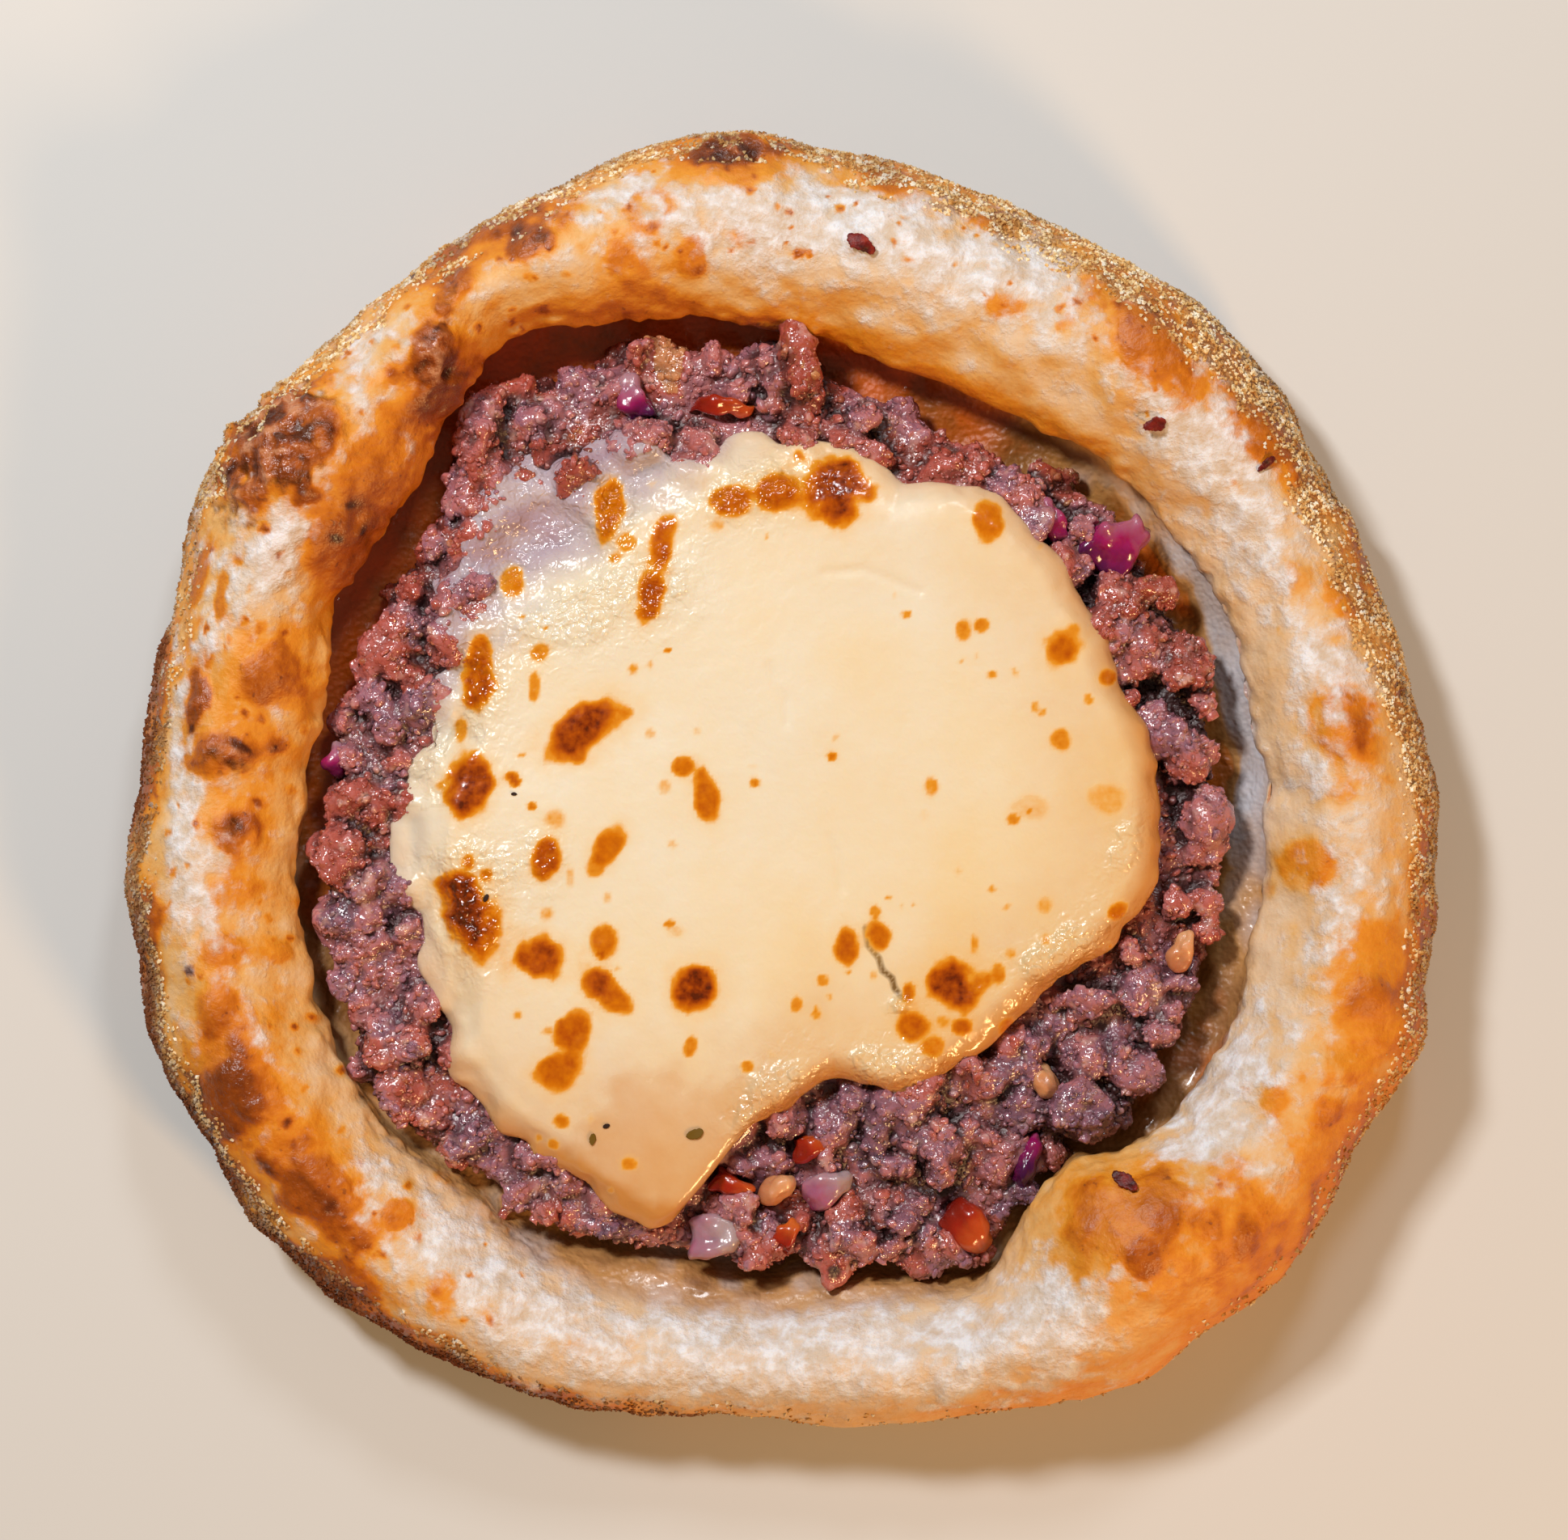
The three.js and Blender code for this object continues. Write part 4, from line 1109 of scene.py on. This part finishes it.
meat_heights = np.max([height_grid(points_of(piece)) for piece in (mince, *coarse)], axis=0)
over_clumps = blurred(meat_heights, 5)
over_granules = blurred(meat_heights, 1)
mark_meat(mince, clump_spots, clump_tint)
random = np.random.default_rng(33)
for pieces, spots in ((coarse, coarse_spots), ([fine], fine_spots)):
    own_tint = clump_tint[nearest_of(clump_spots, spots)] + random.normal(0, 0.09, len(spots))
    for piece in pieces:
        mark_meat(piece, spots, own_tint)

# %% [markdown]
# ### Finish of the meat
#
# Cooked mince is lavender grey where it only steamed and brown where it fried, with paler bits of fat. The
# tint of each lump picks the colour, and bent cells a millimetre wide vary it. The crevices are painted near
# black as shade, and the meat low down at the foot of the heap is painted darker as shade, less strongly.
# The crevices are dull while the granules glisten.

# %% Colours of the meat
minced, tree, shader, place = new_finish("minced_meat")
bend = add(tree, "TexNoise", {"Vector": place, "Scale": 900, "Detail": 3}).outputs["Color"]
bend = add(tree, "VectorMath", {0: bend, "Scale": 1.2 * MM}, operation="SCALE").outputs["Vector"]
bent = add(tree, "VectorMath", {0: place, 1: bend}, operation="ADD").outputs["Vector"]
cells = add(tree, "TexVoronoi", {"Vector": bent, "Scale": 1500, "Randomness": 1})
one_cell = add(tree, "SeparateColor", {"Color": cells.outputs["Color"]}).outputs["Red"]
tint = plus(tree, marked(tree, "tint"), times(tree, minus(tree, one_cell, 0.5), 0.14))
flesh = graded(
    tree, tint, (0, 108, 76, 92), (0.20, 154, 103, 118), (0.42, 182, 112, 112), (0.58, 178, 92, 82),
    (0.74, 154, 64, 50), (0.94, 194, 132, 88),
)
fat = mask_between(tree, noise(tree, place, 620, 3), 0.58, 0.72, 0.7)
flesh = blend(tree, fat, flesh, shade(208, 164, 152))
# Painted shade: the crevices and the shred's hollow end are laid over with a near black.
crevice_shade = grouped(tree, broken_edge, Place=place, Mask=marked(tree, "crevice_shade"), Scale=1500, Amount=1.2)
flesh = blend(tree, crevice_shade, flesh, shade(56, 17, 18))
# Painted shade: meat low down, at the foot of the heap, is made darker and redder.
flesh = blend(tree, times(tree, marked(tree, "low"), 0.6), flesh, shade(88, 26, 14))

# %% Gloss and relief of the meat
granular = times(tree, minus(tree, 1, cells.outputs["Distance"]), 0.8)
height_of = plus(tree, granular, times(tree, noise(tree, place, 2200, 0.5), 0.9))
wire(
    tree, shader, Base_Color=flesh, Normal=bumped(tree, height_of, 0.6, 0.3),
    Roughness=level(tree, crevice_shade, 0.14, 0.5), Specular_IOR_Level=0.8,
    Coat_Weight=level(tree, crevice_shade, 0.3, 0), Coat_Roughness=0.06,
    Subsurface_Weight=0.15, Subsurface_Scale=1 * MM, Subsurface_Radius=(1, 0.35, 0.25),
)
for piece in (mince, *coarse, fine):
    piece.data.materials.append(minced)
    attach(piece, "root")
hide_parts("meat")
print("nodes of the meat's finish:", len(tree.nodes))

# %% [markdown]
# ## The cheese
#
# Melted cheese is a smooth, slightly sagging sheet with a round edge. Its bubbles browned like those of the
# rim, but with a glossy skin. At the upper left it ran out so thin that the meat shows through: there the
# sheet is laid over the lumps of the meat, and takes on some of their colour. Listed are the browned spots,
# the faint ones between them, and the places where its wet skin is uneven and glints.

# %% Spots on the cheese
# x, y, length, width in mm, turn in degrees, and how brown, how uneven or how oily
CHEESE_SPOTS = [
    (5.2, 26.9, 6.4, 6.2, 0, 0.9), (-4.6, 25.3, 4.2, 3.4, 15, 0.6), (-0.4, 26.2, 4.2, 3.2, 15, 0.62),
    (-15.6, 24.9, 6, 3.2, 80, 0.7), (-11, 21.4, 5.6, 2.6, 80, 0.66), (-11.8, 17, 5.6, 2.6, 75, 0.72),
    (18.6, 23.7, 4, 3.4, 80, 0.5), (-27.7, 9.9, 5.9, 3.2, 85, 0.76), (-22.1, 11.7, 2.6, 2.2, 60, 0.4),
    (-17.8, 5, 7.8, 4.4, 35, 0.86), (-28.5, -0.2, 5.5, 4.4, 80, 0.86), (-24.6, 0.4, 1.4, 1.2, 0, 0.42),
    (-21.6, -6.9, 4.2, 2.8, 80, 0.7), (-15.7, -6, 4.2, 3, 50, 0.5), (-9, 1.3, 2.2, 2, 0, 0.5),
    (-6.8, -1.7, 5.2, 2.6, 105, 0.56), (4.5, 2.2, 1.4, 1.3, 0, 0.5), (-2.5, -0.2, 1.2, 1.1, 0, 0.42),
    (-13.5, 10.1, 1.2, 1.1, 0, 0.32), (-28.5, -12.4, 8.2, 5.6, 100, 0.95),
    (-21.8, -16.2, 5, 4.2, 20, 0.76), (-16.2, -14.5, 3.4, 2.8, 60, 0.5),
    (-15.3, -19.4, 5.8, 2.6, -45, 0.56), (-8, -18.5, 4.5, 4.3, 0, 0.9),
    (-18.8, -22.6, 4.2, 3.2, 80, 0.62), (-20.2, -26.4, 4.6, 3.6, 10, 0.6),
    (5.9, -15.1, 3.6, 2.6, 100, 0.62), (8.7, -14.2, 3.2, 2.2, 100, 0.56), (15.5, -18.5, 6, 5.6, 0, 0.86),
    (11.6, -22.3, 3.4, 3, 0, 0.6), (13.7, -24.2, 2.4, 2, 0, 0.4), (16.4, -22.3, 1.9, 1.7, 0, 0.6),
    (16.5, 13.7, 2.6, 1.8, 80, 0.38), (18, 14.1, 1.6, 1.4, 0, 0.36), (19, 9.6, 1.2, 1, 0, 0.32),
    (11.2, 15.1, 1, 0.9, 0, 0.32), (25.6, 11.9, 4.8, 3.6, 80, 0.6), (25.3, 3.8, 2.8, 2.3, 80, 0.38),
    (29.6, 9.3, 1.9, 1.6, 0, 0.5), (22.6, -2.3, 4.2, 3, 0, 0.16), (29.6, -1.5, 4, 3.2, 0, 0.2),
    (21, -3.5, 1.4, 1.2, 0, 0.36), (13.4, -0.5, 2.2, 1.5, 100, 0.28), (19, -9.8, 1, 0.9, 0, 0.28),
    (9.7, -10.6, 0.9, 0.8, 0, 0.28), (30.5, -11.9, 2, 1.6, 40, 0.5), (1.3, -20.3, 2, 1.5, 80, 0.38),
    (3.7, -18.1, 1.2, 1, 0, 0.32), (-8.3, -24.2, 2, 1.3, 80, 0.38), (-3.2, -25.8, 1.4, 1.2, 0, 0.36),
    (-13.8, -34.8, 1.9, 1.6, 0, 0.38), (-20, -30.9, 1.6, 1.4, 0, 0.42), (-20.8, -33, 1.1, 1, 0, 0.36),
]
FAINT_SPOTS = [
    (-20.4, -3.4, 2.6, 2.2, 0, 0.2), (-21.3, -12, 1.8, 1.6, 0, 0.22), (-17, -7.7, 2.2, 2.6, 0, 0.34),
    (-19.2, -8.6, 0.8, 2.6, 0, 0.2), (-29.3, 4.6, 1.2, 2.4, 0, 0.28), (-28.4, -7.5, 1.2, 1.4, 0, 0.4),
    (-26.9, -8.6, 1.3, 1.5, 0, 0.5), (-17.2, -18.3, 2.8, 2.6, 0, 0.5), (-9.6, -13.7, 2.2, 1.6, 0, 0.16),
    (-10.7, -0.6, 1.4, 1.8, 0, 0.18), (-22.5, 8.6, 1, 3, 0, 0.34), (-11.9, 4.3, 1.2, 1.2, 0, 0.2),
    (-14.1, 21.7, 1.8, 2, 0, 0.3), (-24.5, 18.2, 2.4, 2.8, 0, 0.5), (-5.9, 23.3, 1.6, 1.4, 0, 0.18),
    (16, -8.2, 1, 1, 0, 0.16), (23.9, -11.3, 1.6, 1.8, 0, 0.2), (23.9, -14.3, 1.2, 1.4, 0, 0.24),
    (17.4, -14.7, 1, 2.6, 0, 0.26), (20.8, -15.6, 1.4, 1.4, 0, 0.26), (19.7, -17.5, 1.2, 1.8, 0, 0.34),
    (8.5, -11.9, 0.9, 1.2, 0, 0.3), (11.5, -19, 1.2, 2, 0, 0.5), (8.3, -17.7, 1, 1.2, 0, 0.22),
    (3.1, -21.2, 1.2, 1.2, 0, 0.3), (20.6, -22.5, 2, 2.4, 0, 0.4),
]
GLINTING = [
    (-15.6, 24.9, 7, 5, 80, 1), (-11, 17.6, 7, 5, 60, 0.8), (-2, 26.2, 11, 5, 15, 0.9),
    (-17.5, 15.5, 14, 6, 20, 1), (-28.5, -12.4, 8, 6, 100, 1), (-21.6, -6.9, 5, 4, 80, 0.5),
    (-27, 8, 5, 9, 0, 0.6), (-1.4, -29.4, 9, 4.4, 55, 1), (11, -26.2, 10, 4.2, -10, 1),
    (25.6, -15.6, 11, 4.2, 35, 1), (31, -6, 7, 3, 70, 0.6), (10.8, -20.4, 2, 1.6, 0, 1),
    (-32.4, 3, 3.4, 8, 0, 0.8), (-27.4, -8.8, 8, 6, 0, 0.8),
]
OILY_LOBE = [(-11, -33, 20, 15, 40, 0.46)]
# Every 30 degrees: how far oil from the meat has stained the cheese.
OILY_SIDE = [0.9, 0.6, 0.3, 0.3, 0.2, 0.1, 0.12, 0.4, 0.9, 1.0, 1.0, 1.0]
print("spots on the cheese:", len(CHEESE_SPOTS) + len(FAINT_SPOTS))

# %% Bubbles and creases of the cheese
CREASES = [
    [(7.6, -13.3), (7.8, -14.9), (8.8, -16.1), (9.1, -17.2), (10.0, -17.9), (10.2, -18.8), (11.0, -19.7)],
    [(4.3, -5.1), (4.9, -6.8), (5.1, -8.4), (5.4, -9.8)],
    [(-1.2, 10.4), (-0.6, 8.8), (0.2, 7.4), (0.5, 5.2)],
    [(3.7, 18.9), (7.4, 19.2), (12.5, 17.2)],
]


def filmy(points):
    """1 where the cheese is only a film, with a broad, winding border."""
    return ease(-3.5 * MM, 4.0 * MM, across_film(points) + 2.2 * MM * rough(points, 6 * MM, 3, 31))


CHEESE_CELL = 0.34 * MM  # fine enough for a crease
sheet = refined_copy("cheese", "cheese_sheet", 2)
even_cells(sheet, CHEESE_CELL)
points = points_of(sheet)
degrees, radius = polar(points)
outwards = (points[:, :2] - MIDDLE) / radius[:, None]
in_plan = points * [1, 1, 0]
from_edge = around(outermost(points), degrees) - radius
ragged = around(RAGGED_EDGE, degrees)
wavy = (0.5 + 0.25 * ragged) * mottle(in_plan, 3.4 * MM, 44)
wavy += (0.1 + 0.16 * ragged) * mottle(in_plan, 1.5 * MM, 45)
points[:, :2] += outwards * ((wavy - 0.3) * MM * ease(5 * MM, 1 * MM, from_edge))[:, None]
move_points(sheet, points)

sheet_edge = outermost(points, 4, 2.5)
up = normals_of(sheet)[:, 2]
degrees, radius = polar(points)
from_edge = np.maximum(around(sheet_edge, degrees) - radius, 0)
top_side = ease(0.0, 0.4, up)
film = filmy(points)
_, lift = spotted(points, CHEESE_SPOTS, 0.25, 0.2, 32)
sag = 0.26 * mottle(points, 9 * MM, 33) + 0.05 * mottle(points, 3.4 * MM, 34)
bubbles = ease(0, 1.6 * MM, lift) * (0.05 + 0.11 * mottle(points, 1.3 * MM, 35))
creased = sum(np.exp(-(beside(points, line) / (0.4 * MM)) ** 2) for line in CREASES)
swell(sheet, (sag + bubbles - 0.16 * creased) * top_side * MM)
print("cheese points:", len(points))

# %% Laying the cheese over the meat
points = points_of(sheet)
heights = height_grid(points)
covered = (heights > 5.1 * MM).astype(float)
top_of_sheet = looked_up(blurred(heights * covered, 2), points) / looked_up(blurred(covered, 2), points)
meat_below = looked_up(blurred(meat_heights, 2), points)
# The edge sinks among the granules where it is ragged, and stays a rounded lip elsewhere.
sunk = ease(0.8, 3.0, around(RAGGED_EDGE, degrees))
ragged = around(RAGGED_EDGE, degrees) * MM
inwards = ease(0, 1, from_edge / (1.5 * MM + ragged))
edge_top = meat_below + (0.45 - 0.75 * sunk) * MM + (1.2 + 0.3 * sunk) * MM * inwards
thin_edge = (1 - film) * sunk * ease(1, 0.3, from_edge / (3.5 * MM + ragged))
over_meat = 0.45 - 0.85 * ease(1, 0, from_edge / (1.3 * ragged))
over_meat += 0.25 * mottle(points, 3.2 * MM, 40) - 0.9 * out_of_film(points)
points[:, 2] += film * np.clip(meat_below + over_meat * MM - top_of_sheet, -3 * MM, 1.5 * MM)
points[:, 2] += thin_edge * np.clip(edge_top - top_of_sheet, -2.2 * MM, 0.8 * MM)
points[:, 2] -= 0.9 * MM * (1 - film) * (1 - sunk) * ease(3.6 * MM, 0.1 * MM, from_edge) ** 1.5
move_points(sheet, points)
wet_side = ease(-9 * MM, 3 * MM, across_film(points))
rippled = 0.22 * mottle(points, 2.4 * MM, 38) + 0.13 * mottle(points, 1.2 * MM, 39)
near_edge = ease(5 * MM, 1.0 * MM, from_edge) * ease(0, 1.2 * MM, from_edge)
swell(sheet, np.maximum(wet_side, 0.8 * near_edge) * rippled * top_side * MM)
smooth(sheet)

# %% Marks for the cheese's finish
points = points_of(sheet)
film = filmy(points)
brown, _ = spotted(points, CHEESE_SPOTS + FAINT_SPOTS + freckled(CHEESE_SPOTS, 1, 36), 0.32, 0.13, 32, 0.5)
degrees, radius = polar(points)
from_edge = np.maximum(around(sheet_edge, degrees) - radius, 0)
ragged = around(RAGGED_EDGE, degrees)
thin = 0.10 * ease(1.0, 3.0, ragged) * ease(1.4, 0.1, from_edge / (ragged * MM))
see_through = film * (0.34 + 0.60 * rough(points, 3.0 * MM, 3, 46) + 0.5 * out_of_film(points))
mark(sheet, "toast", brown * (1 - 0.3 * film))
mark(sheet, "film", film)
mark(sheet, "thin", either(thin, np.clip(see_through, 0, 0.85)))
glinting, _ = spotted(points, GLINTING, 0.3, 0.3, 47)
mark(sheet, "glinting", glinting)
lobe, _ = spotted(points, OILY_LOBE, 0.3, 0.3, 48)
mark(sheet, "oily", lobe + around(OILY_SIDE, degrees) * (0.28 * ease(16 * MM, 4 * MM, from_edge)
                                                    + 0.9 * ease(3.6 * MM, 0.3 * MM, from_edge)))
# The first crease gets a dark line of painted shade.
off_crease = beside(points, CREASES[0])
mark(sheet, "off_crease", off_crease / MM)
print("points of the cheese that are film:", int((film > 0.5).sum()))

# %% [markdown]
# ### Finish of the cheese
#
# The cheese is ivory at the upper left and yellower to the lower right, stained by oil from the meat near
# its lower edge, and milky and slightly lavender where it is a film. Browned spots go from amber to a deep
# brown at their middle. All that is wet or browned is glossy, and where the skin is uneven two sizes of
# dimples break the lights' reflections up.

# %% Colours of the cheese
melted, tree, shader, place = new_finish("melted_cheese")
toast = marked(tree, "toast")
flecks = minus(tree, noise(tree, place, 1250, 2, Roughness=0.5), 0.5)
toast = plus(tree, toast, times(tree, flecks, 0.85, toast))
across = add(tree, "VectorMath", {0: place, 1: (0.9, -0.6, 0)}, operation="DOT_PRODUCT").outputs["Value"]
across = level(tree, across, 0, 1, -6 * MM, 30 * MM)
cloudy = level(tree, noise(tree, place, 110, 4), -0.6, 1.2)
yellow = times(tree, plus(tree, across, cloudy), 0.7)
plain = blend(tree, yellow, shade(228, 217, 194), shade(230, 203, 153))
oily = grouped(tree, broken_edge, Place=place, Mask=marked(tree, "oily"), Scale=500, Amount=1.2)
plain = blend(tree, oily, plain, shade(206, 144, 76))
# Painted shade: a dark olive line along the first crease.
crease = level(tree, marked(tree, "off_crease"), 0, 0.92, 0.42, 0.12)
plain = blend(tree, crease, plain, shade(110, 74, 0))
skin = mask_between(tree, toast, 0.02, 0.26)
browned = graded(
    tree, toast, (0.06, 232, 190, 120), (0.20, 226, 158, 46), (0.44, 206, 116, 0), (0.70, 176, 80, 0),
    (0.92, 128, 46, 0), (1, 90, 30, 0),
)
bare = minus(tree, 1, skin)
film = grouped(tree, broken_edge, Place=place, Mask=marked(tree, "film"), Scale=500, Amount=2.4)
thin = grouped(tree, broken_edge, Place=place, Mask=marked(tree, "thin"), Scale=800, Amount=2.6)
cheesy = blend(tree, skin, plain, browned)
cheesy = blend(tree, times(tree, film, bare), cheesy, shade(190, 174, 178))
cheesy = blend(tree, times(tree, thin, bare), cheesy, shade(166, 138, 148))

# %% Gloss and relief of the cheese
glinting = marked(tree, "glinting")
uneven = largest(tree, times(tree, film, 0.8), glinting)
height_of = plus(
    tree,
    times(tree, noise(tree, place, 650, 2), level(tree, uneven, 0.45, 1)),
    times(tree, noise(tree, place, 1500, 0.5, Distortion=0.8), level(tree, uneven, 0.10, 2.1)),
    times(tree, noise(tree, place, 950, 0.5, Distortion=1), level(tree, glinting, 0, 2.8)),
)
glossy = largest(tree, oily, film, thin, skin, uneven)
wire(
    tree, shader, Base_Color=cheesy, Normal=bumped(tree, height_of, 0.6, 0.3),
    Roughness=level(tree, glossy, 0.34, 0.17),
    Subsurface_Weight=0.25, Subsurface_Scale=2 * MM, Subsurface_Radius=(1, 0.65, 0.35),
)
sheet.data.materials.append(melted)
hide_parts("cheese")
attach(sheet, "root")
print("nodes of the cheese's finish:", len(tree.nodes))

# %% [markdown]
# ### Pepper and herbs
#
# A few specks of pepper and two bits of dried herb are stuck in the cheese. They are flakes like those of
# chilli, only smaller.

# %% Pepper and herbs
SPECKS = [
    # kind, x, y, length in mm, turn in degrees
    ("pepper", -15.9, -31.3, 0.9, 20),
    ("pepper", -26.9, -10.7, 0.9, 60),
    ("pepper", -24.3, -1.2, 0.7, 0),
    ("herb", -8.0, -32.1, 1.9, 25),
    ("herb", -17.2, -32.5, 1.2, 80),
]
SPECK_COLOURS = {"pepper": shade(44, 24, 12), "herb": shade(104, 76, 10)}
speck_looks = {}
for kind, colour in SPECK_COLOURS.items():
    speck_looks[kind], tree, shader, place = new_finish("dried_" + kind)
    wire(tree, shader, Base_Color=colour, Roughness=0.6, Specular_IOR_Level=0.2)
cheese_points = points_of(sheet)
for i, (kind, x, y, length, turn) in enumerate(SPECKS):
    speck = ragged_flake(f"{kind}_speck_{i + 1}", (x, y), length, 1.6, turn, cheese_points, 10 + i)
    speck.data.materials.append(speck_looks[kind])
    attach(speck, "root")

# %% [markdown]
# ## Diced vegetables
#
# Onion and tomato were diced before they were cooked, so their pieces have soft, rounded corners, and the
# onion's are slivers of a cut layer. Each node is copied, rebuilt from even cells and smoothed, narrowed
# towards one end and bent a little, and made uneven. Red onion is nearly clear where it is thin and magenta
# along its skin, and tomato is a glossy orange red. The pale kernels keep more of their shape.

# %% Finishes of the diced pieces
def soft_finish(name, scale, roughness, translucence, *stops):
    material, tree, shader, place = new_finish(name)
    mottled = level(tree, noise(tree, place, scale, 3), -0.5, 0.5)
    tint = plus(tree, marked(tree, "tint"), times(tree, mottled, 0.7))
    height_of = grouped(tree, fine_relief, Place=place, Scale=1300, Grain=0.1)
    wire(
        tree, shader, Base_Color=graded(tree, tint, *stops), Normal=bumped(tree, height_of, 0.35, 0.2),
        Roughness=roughness, Subsurface_Weight=translucence, Subsurface_Scale=2 * MM,
        Coat_Weight=0.3, Coat_Roughness=0.1,
    )
    return material


DICED = {
    "onion": soft_finish(
        "diced_onion", 320, 0.22, 0.35,
        (0.05, 72, 10, 62), (0.35, 150, 18, 86), (0.60, 160, 92, 118), (0.90, 168, 144, 146),
    ),
    "tomato": soft_finish(
        "diced_tomato", 300, 0.22, 0.3, (0.10, 96, 12, 8), (0.45, 152, 32, 10), (0.90, 204, 98, 34),
    ),
    "kernel": soft_finish(
        "kernel", 500, 0.35, 0.2, (0.10, 166, 96, 62), (0.50, 204, 138, 90), (0.90, 224, 174, 128),
    ),
}
# Tint at the middle of a piece, and how much it changes from end to end.
TINTS = {
    "onion_1": (0.34, 0.25), "onion_2": (0.30, 0.30), "onion_3": (0.86, 0.15), "onion_4": (0.74, 0.25),
    "onion_5": (0.40, 0.50), "onion_6": (0.20, 0.15), "onion_7": (0.45, 0.35),
}
OTHER_TINT = (0.5, 0.3)
DICE_CELL = 0.2 * MM
# How much a piece narrows towards one end, and how far its ends bend down.
BENT = {"onion": (0.55, 0.3), "tomato": (0.55, 0.3), "kernel": (0.15, 0.1)}
print("finishes of diced pieces:", len(DICED))

# %% Shaping the diced pieces
def misshapen(piece, taper, sag):
    """Narrows a piece towards one end and bends its ends down, as slivers of a cut layer are."""
    points = points_of(piece)
    middle = points.mean(axis=0)
    flat = points[:, :2] - middle[:2]
    axes = np.linalg.svd(flat, full_matrices=False)[2]
    along, aside = (flat @ axes.T).T
    reach = np.abs(along).max()
    share = along / reach
    aside = aside * (1 - taper * ease(-0.4, 1.0, share))
    points[:, :2] = np.outer(along, axes[0]) + np.outer(aside, axes[1]) + middle[:2]
    points[:, 2] -= sag * reach * share**2 + 0.55 * MM
    move_points(piece, points)
    return share


for i, name in enumerate(dice):
    kind = name.split("_")[0]
    piece = refined_copy(name, name + "_piece", 0)
    even_cells(piece, DICE_CELL)
    with_modifier(piece, "SMOOTH", factor=0.5, iterations=3)
    share = misshapen(piece, *BENT[kind])
    points = points_of(piece)
    swell(piece, (0.6 * rough(points, 2.2 * MM, 2, 41 + i) + 0.16 * mottle(points, 0.8 * MM, 51 + i)) * MM)
    smooth(piece)
    tint, change = TINTS.get(name, OTHER_TINT)
    mark(piece, "tint", tint + change * share)
    piece.data.materials.append(DICED[kind])
    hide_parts(name)
    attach(piece, "root")
print("diced pieces shaped:", len(dice))
